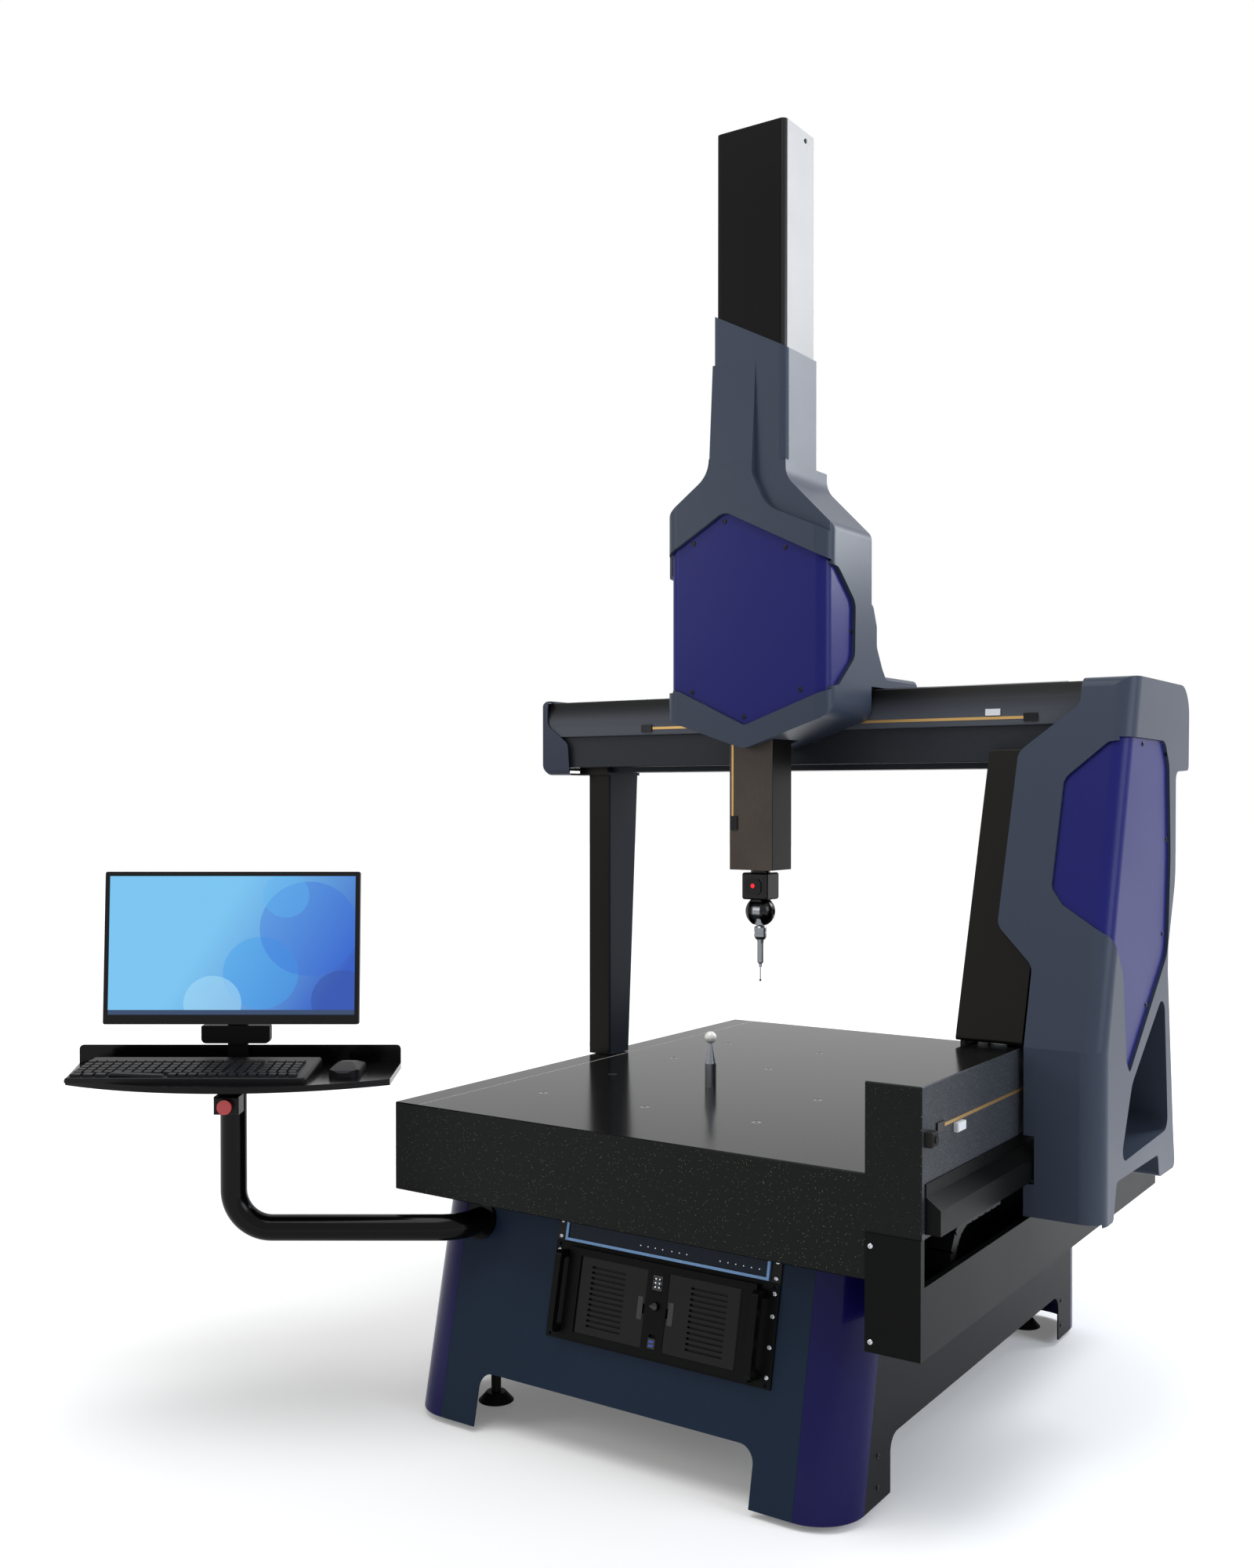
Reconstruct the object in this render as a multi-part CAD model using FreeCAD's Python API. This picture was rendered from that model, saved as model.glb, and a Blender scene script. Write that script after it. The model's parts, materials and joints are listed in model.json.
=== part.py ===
import FreeCAD, Part
import math
import os

# A bridge coordinate measuring machine: granite table on a clad steel stand, a bridge that slides
# along the table (Y), a carriage that slides along the beam (X), a ram that slides in the
# carriage (Z), an indexing probe head, a built-in 19-inch rack and an operator's console.
# All lengths are in millimetres.  Shapes are built with the table's front-left corner at x = y = 0
# and the floor at z = 0, and are moved to the centre of the machine's footprint when written.

V = FreeCAD.Vector

# ---------------------------------------------------------------- driving dimensions
footprint_x = 365.22         # footprint's centre, seen from the table's front-left corner
footprint_y = 440.73

# table and rail
table_width = 1025.0
table_depth = 1348.0
table_thickness = 174.0
table_height = 620.0         # top face above the floor
rail_width = 98.0
rail_height = 244.0
rail_rise = 150.0            # rail's top above the table's top
granite_chamfer = 2.0
insert_pitch = 250.0
insert_first_x = 190.0
insert_first_y = 238.0
insert_columns = 3
insert_rows = 4
insert_diameter = 20.0
insert_length = 30.0
insert_bore = 6.8            # tapping size of an M8 thread
insert_sink = 0.3

# stand
stand_left = 22.0
stand_right = 978.0
stand_rear = 1276.0
stand_front_top = 102.0      # front face just under the table
stand_lean = 0.22            # forward lean of the front face, per unit of height
stand_gap = 6.0              # cladding stops this far under the table
clad_foot = 12.0             # cladding's feet above the floor
clad_skirt = 112.0           # cladding's lower edge between the feet
clad_sheet = 3.0
column_radius = 90.0
clad_foot_width = 84.0
clad_seam = 0.3
post_size = 80.0
post_wall = 6.0
post_foot = 118.0            # bottom of the posts above the floor
post_front_y = 118.0
post_side_inset = 68.0
post_rear_y = 1146.0
rear_of_rack_y = 560.0
bracket_height = 30.0
bracket_width = 12.0
pad_thickness = 16.0
pad_radius = 32.0
foot_radius = 36.0
foot_height = 18.0
stud_radius = 10.0
nut_radius = 17.0
nut_height = 14.0

# 19-inch rack
rack_width = 482.6
rack_unit = 44.45
rack_left = 342.0
rack_gap = 0.8
rack_top_slope = 327.0       # along the leaning face, from the floor line to the rack's middle joint
rack_body_width = 440.0
rack_plate = 4.0
case_sheet = 2.0
controller_depth = 280.0
computer_units = 4
computer_depth = 420.0
ear_width = 21.3
handle_size = 13.0
handle_reach = 34.0
door_thickness = 9.0
door_gap = 0.5
door_width = 150.0
door_height = 138.0
door_slots = 12
slot_width = 76.0
slot_height = 4.2
slot_pitch = 9.6
strip_width = 46.0

# trough and drive channel beside the rail
trough_bottom = 333.0
trough_wall_top = 449.0
trough_sheet = 2.5
trough_reach = 5.0           # trough's front in front of the rail
trough_return = 14.0
channel_top = 614.0
channel_fold = 593.0
channel_shoulder = 575.0
channel_bottom = 534.0
channel_depth = 27.0
channel_start = 10.0
drive_bar_size = 10.0
drive_bar_top = 557.0
chain_width = 46.0
chain_height = 24.0
chain_pitch = 30.0
chain_links_lower = 13
chain_links_upper = 5
chain_bend_links = 8
chain_bend_y = 265.0

# scales
tape_width = 5.5
tape_thick = 0.6
y_tape_z = 695.0
y_tape_start = 83.0
y_tape_end = 1280.0
x_tape_z = 1382.0
x_tape_start = 199.0
x_tape_end = 1061.0
clamp_length = 28.0
clamp_height = 16.0
clamp_thick = 3.0

# bridge
bridge_clearance = 0.3       # air gap between the bridge, the table and the rail
leg_inner = 1001.0
leg_outer = 1128.0
leg_base_z = 775.0
leg_front_y = 436.0
leg_rear_y = 905.0
leg_slope = 0.317
leg_lip_top = 1320.0
leg_wall = 14.0
beam_left = -98.0
beam_right = 1240.0
beam_front = 640.0
beam_rear = 838.0
beam_bottom = 1296.0
beam_top = 1449.0
beam_ledge = 1367.0
beam_ledge_reach = 8.0
beam_wall = 9.0
x_bar_y = 690.0
x_bar_width = 9.0
x_bar_height = 4.5
base_bar_height = 12.0
base_bar_width = 96.0
left_leg_outer = -11.0
left_leg_inner = 49.0
left_leg_front = 680.0
left_leg_foot = 80.0
left_leg_head = 119.0
left_leg_wall = 5.0
left_leg_plate = 18.0
bearing_radius = 26.0
bearing_thick = 14.0
tower_left = 1134.0
tower_right = 1275.0
tower_bottom = 463.0
tower_top = 1455.0
tower_wing = 1060.0
tower_front = 430.0
tower_bend = 775.0
tower_slope = 0.303
tower_wall = 5.0
tower_corner = 40.0
inset_depth = 6.0
inset_thick = 3.0
inset_gap = 0.6
cap_end = -114.0
cap_wall = 4.0

# carriage and ram
ram_centre_x = 552.0
ram_width = 100.0
ram_depth = 84.0
ram_front = 458.0
ram_bottom = 1078.0
ram_length = 1120.0
ram_wall = 10.0
ram_plug = 24.0
carriage_left = 361.0
carriage_right = 742.0
carriage_front = 428.0
carriage_rear = 625.0
carriage_low = 1324.0
carriage_wall = 4.0
carriage_corner = 32.0
carriage_inset_depth = 8.0
raised_edge = 571.0          # right edge of the neck's raised half
raised_top = 2110.0
neck_left = 470.5
neck_right = 639.5
neck_front = 443.5
neck_rear = 576.5
neck_top_left = 2212.0
neck_top_right = 2124.0
column_left = 475.0
column_right = 635.0
column_front = 448.0
column_rear = 572.0
column_foot = 1790.0
column_top = 2580.0
column_sheet = 2.0
saddle_bottom = 1460.0
saddle_plate = 12.0
roller_radius = 16.0
x_roller_radius = 12.0
running_fit = 0.05
front_pad_z = 1354.0         # lower bearings on the beam's front face

# travel of the ram, below and above the position shown
z_travel_down = 225.0
z_travel_up = 275.0

# probe head
head_width = 60.0
head_top_gap = 6.0
ball_radius = 31.0
ball_centre_z = 992.0
head_bottom = 1017.0
head_gap = 0.3
slot_half = 13.3
hub_radius = 19.5
web_height = 20.3
probe_radius = 13.0
probe_top = 972.0
probe_bottom = 934.0
module_radius = 6.5
module_bottom = 884.0
stylus_radius = 1.2
tip_radius = 2.5
tip_z = 850.0

# reference sphere
sphere_radius = 12.5
sphere_height = 103.0
stem_radius = 12.0
stem_height = 49.0
stem_neck = 3.0

# console
arm_radius = 25.4
arm_wall = 3.0
arm_height = 387.0
arm_root_x = 150.0
arm_bend = 75.0
post_x = -215.0
post_y = -226.0
console_turn = 34.15          # turn of the console from the machine's front, in degrees
arm_top = 656.0
tray_z = 686.0
tray_half = 312.0
tray_rear_left = 347.0
tray_rear_right = 307.0
tray_front = 133.0
tray_rear = 133.0
tray_bulge = 88.0
tray_sheet = 3.0
tray_upstand = 37.0
keyboard_width = 460.0
keyboard_depth = 165.0
keyboard_height = 14.0
mouse_length = 110.0
mouse_width = 62.0
mouse_height = 25.0
monitor_width = 508.0
monitor_height = 303.0
monitor_depth = 22.0
monitor_bezel = 9.0
monitor_chin = 19.0
monitor_front = 62.0         # screen's front behind the post's axis
monitor_lean = 4.0
monitor_shift = -19.0         # monitor's middle beside the post's axis
monitor_bottom = 773.0
stop_radius = 14.0
stop_x = 4.0
stop_travel = 5.0
stop_box_width = 48.0
stop_box_height = 34.0
stop_box_depth = 40.0

# derived places
table_bottom = table_height - table_thickness
rail_left = table_width
rail_right = table_width + rail_width
rail_top = table_height + rail_rise
rail_bottom = rail_top - rail_height
rail_front = -3.0
lean_angle = math.degrees(math.atan(stand_lean))
clad_top = table_bottom - stand_gap
ram_left = ram_centre_x - ram_width / 2
ram_right = ram_centre_x + ram_width / 2
ram_rear = ram_front + ram_depth
ram_top = ram_bottom + ram_length
head_y = ram_front + ram_depth / 2


# ---------------------------------------------------------------- helpers
def box(x0, x1, y0, y1, z0, z1):
    return Part.makeBox(x1 - x0, y1 - y0, z1 - z0, V(x0, y0, z0))


def cylinder(radius, start, end):
    start = V(*start)
    axis = V(*end) - start
    return Part.makeCylinder(radius, axis.Length, start, axis)


def fuse(shapes):
    shapes = list(shapes)
    return shapes[0].multiFuse(shapes[1:]).removeSplitter()


def closed_wire(corners, place):
    """A closed wire whose corners (a, b, radius) are rounded; place maps a, b to space."""
    count = len(corners)
    spans = []
    for i in range(count):
        here = V(corners[i][0], corners[i][1], 0)
        before = V(corners[i - 1][0], corners[i - 1][1], 0)
        after = V(corners[(i + 1) % count][0], corners[(i + 1) % count][1], 0)
        back = (before - here).normalize()
        on = (after - here).normalize()
        radius = corners[i][2]
        half = math.acos(max(-1.0, min(1.0, back.dot(on)))) / 2
        if radius <= 0 or half > math.radians(89.5):
            spans.append((here, here, here))
            continue
        reach = radius / math.tan(half)
        middle = (back + on).normalize()
        depth = radius / math.sin(half) - radius
        spans.append((here + back * reach, here + middle * depth, here + on * reach))
    edges = []
    for i in range(count):
        first, middle, last = [place(p.x, p.y) for p in spans[i]]
        if (last - first).Length > 1e-6:
            edges.append(Part.Arc(first, middle, last).toShape())
        start = place(spans[(i + 1) % count][0].x, spans[(i + 1) % count][0].y)
        if (start - last).Length > 1e-6:
            edges.append(Part.LineSegment(last, start).toShape())
    return Part.Wire(edges)


def along_x(corners, x0, x1):
    """Prism along X from (y, z, radius) corners."""
    wire = closed_wire(corners, lambda a, b: V(x0, a, b))
    return Part.Face(wire).extrude(V(x1 - x0, 0, 0))


def along_y(corners, y0, y1):
    """Prism along Y from (x, z, radius) corners."""
    wire = closed_wire(corners, lambda a, b: V(a, y0, b))
    return Part.Face(wire).extrude(V(0, y1 - y0, 0))


def along_z(corners, z0, z1):
    """Prism along Z from (x, y, radius) corners."""
    wire = closed_wire(corners, lambda a, b: V(a, b, z0))
    return Part.Face(wire).extrude(V(0, 0, z1 - z0))


def inset(corners, distance):
    """The same rounded outline, moved inwards by a distance (outwards if negative)."""
    count = len(corners)
    area = sum(corners[i - 1][0] * corners[i][1] - corners[i][0] * corners[i - 1][1]
               for i in range(count))
    turn = 1.0 if area > 0 else -1.0
    moved = []
    for i in range(count):
        here = V(corners[i][0], corners[i][1], 0)
        before = V(corners[i - 1][0], corners[i - 1][1], 0)
        after = V(corners[(i + 1) % count][0], corners[(i + 1) % count][1], 0)
        arrive = (here - before).normalize()
        leave = (after - here).normalize()
        side_a = V(-arrive.y, arrive.x, 0) * turn
        side_b = V(-leave.y, leave.x, 0) * turn
        bisector = side_a + side_b
        step = bisector * (distance / (1.0 + side_a.dot(side_b)))
        convex = (arrive.x * leave.y - arrive.y * leave.x) * turn > 0
        radius = corners[i][2] - distance if convex else corners[i][2] + distance
        moved.append((here.x + step.x, here.y + step.y, max(radius, 0.0)))
    return moved


def bevel(solid, size, test):
    """Chamfer the edges whose centre passes the test."""
    return solid.makeChamfer(size, [e for e in solid.Edges if test(e.CenterOfMass)])


def soften(solid, radius, test):
    """Round the edges whose centre passes the test."""
    return solid.makeFillet(radius, [e for e in solid.Edges if test(e.CenterOfMass)])


def polar(radius, degrees):
    return radius * math.cos(math.radians(degrees)), radius * math.sin(math.radians(degrees))


# ---------------------------------------------------------------- table
def insert_places():
    return [(insert_first_x + i * insert_pitch, insert_first_y + j * insert_pitch)
            for i in range(insert_columns) for j in range(insert_rows)]


def granite_table():
    slab = box(0, table_width, 0, table_depth, table_bottom, table_height)
    slab = bevel(slab, granite_chamfer, lambda c: abs(c.x - table_width) > 1)
    pockets = [cylinder(insert_diameter / 2, (x, y, table_height - insert_length),
                        (x, y, table_height + 1)) for x, y in insert_places()]
    return slab.cut(pockets)


def table_inserts():
    rings = []
    for x, y in insert_places():
        top = table_height - insert_sink
        ring = cylinder(insert_diameter / 2, (x, y, table_height - insert_length), (x, y, top))
        ring = ring.cut(cylinder(insert_bore / 2, (x, y, table_height - insert_length + 4),
                                 (x, y, top)))
        rings.append(ring)
    return Part.Compound(rings)


def guide_rail():
    rail = box(rail_left, rail_right, rail_front, table_depth, rail_bottom, rail_top)
    return bevel(rail, granite_chamfer, lambda c: c.z > rail_bottom + 1 and c.x > rail_left + 1)


# ---------------------------------------------------------------- stand
def front_y(z):
    """Stand's front face at a height."""
    return stand_front_top - stand_lean * (table_bottom - z)


def lean_point(x, z, depth=0.0):
    """A point of the leaning front face, set back square to the face by a depth."""
    back = math.radians(lean_angle)
    return V(x, front_y(z) + depth * math.cos(back), z - depth * math.sin(back))


def sheared(section, z0, z1):
    """Loft of a plan outline whose front follows the leaning face; section takes the front's y."""
    rings = [closed_wire(section(front_y(z)), lambda a, b, h=z: V(a, b, h)) for z in (z0, z1)]
    return Part.makeLoft(rings, True, True)


def plan_outline(front):
    return [(stand_left, front, column_radius), (stand_right, front, column_radius),
            (stand_right, stand_rear, column_radius), (stand_left, stand_rear, column_radius)]


def cladding():
    """The stand's whole skin, before it is parted into panels and corner columns."""
    outer = sheared(plan_outline, clad_foot, clad_top)
    inner = sheared(lambda front: inset(plan_outline(front), clad_sheet), clad_foot, clad_top)
    return outer.cut(inner)


def foot_cutouts():
    """The low openings between the cladding's feet, through front and rear and through the sides."""
    reach = column_radius + clad_foot_width
    low = clad_foot - 50
    across = [(stand_left + reach, low, 0), (stand_left + reach, clad_skirt, 30),
              (stand_right - reach, clad_skirt, 30), (stand_right - reach, low, 0)]
    front_foot = front_y(clad_skirt) + reach
    rear_foot = stand_rear - reach
    sideways = [(front_foot, low, 0), (front_foot, clad_skirt, 30),
                (rear_foot, clad_skirt, 30), (rear_foot, low, 0)]
    return [along_y(across, -200, stand_rear + 50),
            along_x(sideways, stand_left - 50, stand_right + 50)]


def rack_opening():
    """Opening in the leaning face behind the rack's front plates."""
    side = ear_width - 6.0
    height = rack_unit * (computer_units + 1)
    cut = box(rack_left + side, rack_left + rack_width - side, -40, 40, rack_gap + 0.6,
              height - rack_gap)
    return rack_placed(cut, 0.0)


def clad_panel(side):
    """One flat panel of the cladding: front, rear, left or right."""
    far = 2000.0
    seam = column_radius + clad_seam / 2
    zones = {"front": box(stand_left + seam, stand_right - seam, -200, 300, 0, far),
             "rear": box(stand_left + seam, stand_right - seam, 900, far, 0, far),
             "left": box(-100, 300, 0, stand_rear - seam, 0, far),
             "right": box(700, 1200, 0, stand_rear - seam, 0, far)}
    panel = cladding().common(zones[side]).cut(foot_cutouts())
    if side == "front":
        return panel.cut(rack_opening())
    if side == "rear":
        vents = [box(x, x + 14, 1200, 1300, 250, 330) for x in range(380, 640, 28)]
        return panel.cut(vents)
    return panel.cut(front_zone(-100, 1200, seam))


def front_zone(x0, x1, reach):
    """Space in front of a leaning plane set back from the front face."""
    high = table_height
    return along_x([(front_y(0) - 300, 0, 0), (front_y(0) + reach, 0, 0),
                    (front_y(high) + reach, high, 0), (front_y(0) - 300, high, 0)], x0, x1)


def corner_columns():
    seam = column_radius - clad_seam / 2
    skin = cladding().cut(foot_cutouts())
    corners = []
    for x0, x1 in ((stand_left - 50, stand_left + seam), (stand_right - seam, stand_right + 50)):
        front = front_zone(x0, x1, seam)
        rear = box(x0, x1, stand_rear - seam, stand_rear + 50, 0, table_height)
        corners += [skin.common(front), skin.common(rear)]
    return Part.Compound(corners)


def tube(x0, x1, y0, y1, z0, z1, axis):
    """Square steel tube, open at both ends along one axis."""
    outer = box(x0, x1, y0, y1, z0, z1)
    w = post_wall
    grow = {"x": (-1, w, w), "y": (w, -1, w), "z": (w, w, -1)}[axis]
    a, b, c = grow
    return outer.cut(box(x0 + a, x1 - a, y0 + b, y1 - b, z0 + c, z1 - c))


def post_places():
    xs = (stand_left + post_side_inset, stand_right - post_side_inset - post_size)
    return [(x, y) for x in xs for y in (post_front_y, post_rear_y)]


def foot_places():
    return [(x + post_size / 2, y + post_size / 2) for x, y in post_places()]


def stand_frame():
    """Welded frame: four posts, upper rails, lower rails and the rack's two uprights."""
    top = table_bottom - pad_thickness
    parts = []
    for x, y in post_places():
        parts.append(tube(x, x + post_size, y, y + post_size, post_foot, top, "z"))
        parts.append(box(x + 1, x + post_size - 1, y + 1, y + post_size - 1,
                         post_foot, post_foot + post_wall))
        parts.append(box(x + 1, x + post_size - 1, y + 1, y + post_size - 1, top - post_wall, top))
    left = stand_left + post_side_inset
    right = stand_right - post_side_inset
    for y in (rear_of_rack_y, post_rear_y):
        parts.append(tube(left + post_size, right - post_size, y, y + post_size,
                          top - 60, top, "x"))
    for x in (left, right - post_size):
        parts.append(tube(x, x + post_size, post_front_y + post_size, post_rear_y,
                          top - post_size, top, "y"))
        parts.append(tube(x + 15, x + post_size - 15, post_front_y + post_size, post_rear_y,
                          post_foot + 20, post_foot + 70, "y"))
    z = top - post_size - bracket_height
    for x, y in post_places():
        on_left = x < table_width / 2
        at_rear = y > table_depth / 2
        side = (stand_left + clad_sheet, x + 1) if on_left else (
            x + post_size - 1, stand_right - clad_sheet)
        foot = y if at_rear else y + post_size - bracket_width
        parts.append(box(side[0], side[1], foot, foot + bracket_width, z, z + bracket_height))
        if at_rear:
            edge = x + post_size - bracket_width if on_left else x
            parts.append(box(edge, edge + bracket_width, y + post_size - 1,
                             stand_rear - clad_sheet, z, z + bracket_height))
    frame = fuse(parts)
    holes = [cylinder(stud_radius + 0.3, (x, y, post_foot - 1), (x, y, post_foot + post_wall + 1))
             for x, y in foot_places()]
    return frame.cut(holes)


def support_pads():
    return Part.Compound([cylinder(pad_radius, (x, y, table_bottom - pad_thickness),
                                   (x, y, table_bottom)) for x, y in foot_places()])


def levelling_feet():
    feet = []
    for x, y in foot_places():
        pad = Part.makeCone(foot_radius, foot_radius * 0.55, foot_height, V(x, y, 0))
        stud = cylinder(stud_radius, (x, y, foot_height - 2), (x, y, post_foot + 60))
        corners = [(x + polar(nut_radius, 60 * k)[0], y + polar(nut_radius, 60 * k)[1], 0)
                   for k in range(6)]
        nut = along_z(corners, post_foot - nut_height, post_foot)
        feet.append(fuse([pad, stud, nut]))
    return Part.Compound(feet)


# ---------------------------------------------------------------- rack
def rack_placed(shape, depth=0.0):
    """Move a rack piece from its own frame (x, back, up) onto the leaning face."""
    moved = shape.copy()
    moved.rotate(V(0, 0, 0), V(1, 0, 0), lean_angle * -1.0)
    base = lean_point(0, rack_bottom_z(), depth)
    moved.translate(V(0, base.y, base.z))
    return moved


def rack_bottom_z():
    """Height of the rack's lower edge."""
    middle = rack_top_slope - rack_unit * computer_units / 2
    return middle * math.cos(math.radians(lean_angle)) - 26.0


def rack_plate_shape(z0, z1):
    plate = box(rack_left, rack_left + rack_width, -rack_plate, 0, z0, z1)
    slots = []
    for x in (rack_left + ear_width / 2 - 1, rack_left + rack_width - ear_width / 2 + 1):
        for z in (z0 + 6.5, z1 - 6.5):
            slots.append(cylinder(3.2, (x, -rack_plate - 1, z), (x, 1, z)))
    return plate.cut(slots)


def hollow_box(x0, x1, y0, y1, z0, z1):
    """Sheet case with a fan opening in its rear wall."""
    w = case_sheet
    case = box(x0, x1, y0, y1, z0, z1).cut(box(x0 + w, x1 - w, y0 + 10, y1 - w, z0 + w, z1 - w))
    x = (x0 + x1) / 2
    z = (z0 + z1) / 2
    return case.cut(cylinder((z1 - z0) * 0.3, (x, y1 - w - 1, z), (x, y1 + 1, z)))


def probe_controller():
    low = rack_unit * computer_units + rack_gap / 2
    high = low + rack_unit - rack_gap
    inner = rack_left + (rack_width - rack_body_width) / 2
    front = rack_plate_shape(low, high)
    face = box(rack_left + ear_width, rack_left + rack_width - ear_width, -rack_plate - 5,
               -rack_plate, low + 2, high - 2)
    face = face.cut(box(rack_left + ear_width + 5, rack_left + rack_width - ear_width - 5,
                        -rack_plate - 6, -rack_plate - 2, low + 7, high - 7))
    body = hollow_box(inner, inner + rack_body_width, 0, controller_depth, low + 1, high - 1)
    return rack_placed(fuse([front, face, body]))


def door_edges():
    """Inner and outer x of the two doors, left door first."""
    centre = rack_left + rack_width / 2
    gap = strip_width / 2 + door_gap
    return [(centre - gap - door_width, centre - gap), (centre + gap, centre + gap + door_width)]


def door_band():
    """Lower and upper edge of the doors in the rack's frame."""
    low = (rack_unit * computer_units - door_height) / 2
    return low, low + door_height


def computer_case():
    high = rack_unit * computer_units - rack_gap / 2
    inner = rack_left + (rack_width - rack_body_width) / 2
    front = rack_plate_shape(rack_gap / 2, high)
    body = hollow_box(inner, inner + rack_body_width, 0, computer_depth, 2, high - 1)
    bezel = box(rack_left + ear_width + 18, rack_left + rack_width - ear_width - 18,
                -rack_plate - door_thickness - 2, -rack_plate, 6, high - 6)
    low_z, high_z = door_band()
    pockets = [box(x0 - door_gap, x1 + door_gap, -rack_plate - door_thickness - 3, 1.5 - rack_plate,
                   low_z - door_gap, high_z + door_gap) for x0, x1 in door_edges()]
    centre = rack_left + rack_width / 2
    face = -rack_plate - door_thickness - 2
    middle = rack_unit * computer_units / 2
    lock = cylinder(8, (centre, face - 4, middle + 8), (centre, face + 1, middle + 8))
    leds = [cylinder(2.2, (centre + sx, face - 1, middle + 44 + sz), (centre + sx, face + 1,
                                                                       middle + 44 + sz))
            for sx in (-7, 7) for sz in (-11, 0, 11)]
    ports = [box(centre - 7, centre + 7, face - 1, face + 5, middle + z, middle + z + 5)
             for z in (-58, -46)]
    case = fuse([front, body, bezel, lock] + leds).cut(ports + pockets)
    handles = []
    for x in (rack_left + ear_width + 2, rack_left + rack_width - ear_width - 2 - handle_size):
        bar = [(-rack_plate, 14, 0), (-rack_plate - handle_reach, 14, 10),
               (-rack_plate - handle_reach, high - 14, 10), (-rack_plate, high - 14, 0)]
        grip = [(-rack_plate + 1, 14 + handle_size, 0),
                (-rack_plate - handle_reach + handle_size, 14 + handle_size, 5),
                (-rack_plate - handle_reach + handle_size, high - 14 - handle_size, 5),
                (-rack_plate + 1, high - 14 - handle_size, 0)]
        handle = along_x(bar, x, x + handle_size).cut(along_x(grip, x - 1, x + handle_size + 1))
        handles.append(handle)
    return rack_placed(fuse([case] + handles))


def computer_door(side):
    x0, x1 = door_edges()[side]
    low_z, high_z = door_band()
    face = -rack_plate - door_thickness - 1
    door = box(x0, x1, face, face + door_thickness, low_z, high_z)
    outer = x0 if side == 0 else x1
    inner = x1 if side == 0 else x0
    door = soften(door, 4.0, lambda c: abs(c.x - outer) < 1 and abs(c.y - face) < 1)
    start = (x0 + x1 - slot_width) / 2 + (-10 if side == 0 else 10)
    first = (low_z + high_z - (door_slots - 1) * slot_pitch - slot_height) / 2
    slots = [box(start, start + slot_width, face - 1, face + 5, first + k * slot_pitch,
                 first + k * slot_pitch + slot_height) for k in range(door_slots)]
    pull = cylinder(9, (inner, face - 1, (low_z + high_z) / 2), (inner, face + 5,
                                                                (low_z + high_z) / 2))
    return rack_placed(door.cut(slots + [pull]))


# ---------------------------------------------------------------- trough, channel and chain
def trough_cover():
    """Folded sheet trough hung under the rail for the moving cables."""
    s = trough_sheet
    front = rail_front - trough_reach + trough_reach / 2
    rear = table_depth
    floor = box(rail_left + 1, rail_right, front, rear, trough_bottom, trough_bottom + s)
    inner = box(rail_left + 1, rail_left + 1 + s, front, rear, trough_bottom, rail_bottom)
    outer = box(rail_right - s, rail_right, front, rear, trough_bottom, trough_wall_top)
    lip = box(rail_right - 12, rail_right, front, rear, trough_wall_top - s, trough_wall_top)
    face = box(rail_left + 1, rail_right, front, front + s, trough_bottom, rail_bottom)
    strip = box(rail_right - s, rail_right, front, front + trough_return,
                trough_wall_top - 1, rail_bottom)
    back = box(rail_left + 1, rail_right, rear - s, rear, trough_bottom, rail_bottom)
    return fuse([floor, inner, outer, lip, face, strip, back])


def drive_channel():
    """Folded cover along the rail's outer face, open below, closed at both ends."""
    x = rail_right
    s = trough_sheet
    end = table_depth - channel_start
    fold = [(x, channel_top, 0), (x + s, channel_top, 0), (x + s, channel_fold, 0),
            (x + channel_depth, channel_shoulder, 0), (x + channel_depth, channel_bottom, 0),
            (x + channel_depth - s, channel_bottom, 0),
            (x + channel_depth - s, channel_shoulder - 1.5, 0), (x, channel_fold - 1.5, 0)]
    filled = [(x, channel_fold - 1, 0), (x + channel_depth - 1, channel_shoulder, 0),
              (x + channel_depth - 1, channel_bottom, 0), (x, channel_bottom, 0)]
    sheet = along_y(fold, channel_start, end)
    ends = [along_y(filled, channel_start, channel_start + s), along_y(filled, end - s, end)]
    return fuse([sheet] + ends)


def y_drive_bar():
    return box(rail_right, rail_right + drive_bar_size, channel_start + 12,
               table_depth - channel_start - 12, drive_bar_top - 14, drive_bar_top)


def chain_link(y, z, degrees):
    """One link of the cable chain, centred at y, z and turned about X."""
    x = (rail_left + rail_right) / 2
    link = box(x - chain_width / 2, x + chain_width / 2, -chain_pitch / 2, chain_pitch / 2,
               -chain_height / 2, chain_height / 2)
    hollow = box(x - chain_width / 2 + 4, x + chain_width / 2 - 4, -chain_pitch, chain_pitch,
                 -chain_height / 2 + 3.5, chain_height / 2 - 3.5)
    waist = box(x - chain_width / 2 - 1, x + chain_width / 2 + 1, -3, 3,
                chain_height / 2 - 2, chain_height / 2 + 1)
    link = link.cut([hollow, waist])
    link.rotate(V(0, 0, 0), V(1, 0, 0), degrees)
    link.translate(V(0, y, z))
    return link


def cable_chain():
    radius = chain_bend_links * chain_pitch / math.pi
    low = trough_bottom + trough_sheet + chain_height / 2
    links = [chain_link(chain_bend_y + chain_pitch * (k + 0.5), low, 0)
             for k in range(chain_links_lower)]
    for k in range(chain_bend_links):
        turn = 180.0 / chain_bend_links * (k + 0.5)
        y = chain_bend_y - radius * math.sin(math.radians(turn))
        z = low + radius - radius * math.cos(math.radians(turn))
        links.append(chain_link(y, z, -turn))
    links += [chain_link(chain_bend_y + chain_pitch * (k + 0.5), low + 2 * radius, 180)
              for k in range(chain_links_upper)]
    floor = box(rail_left, rail_right, 0, table_depth, trough_bottom, trough_bottom + trough_sheet)
    return fuse(links).cut(floor)


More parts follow.
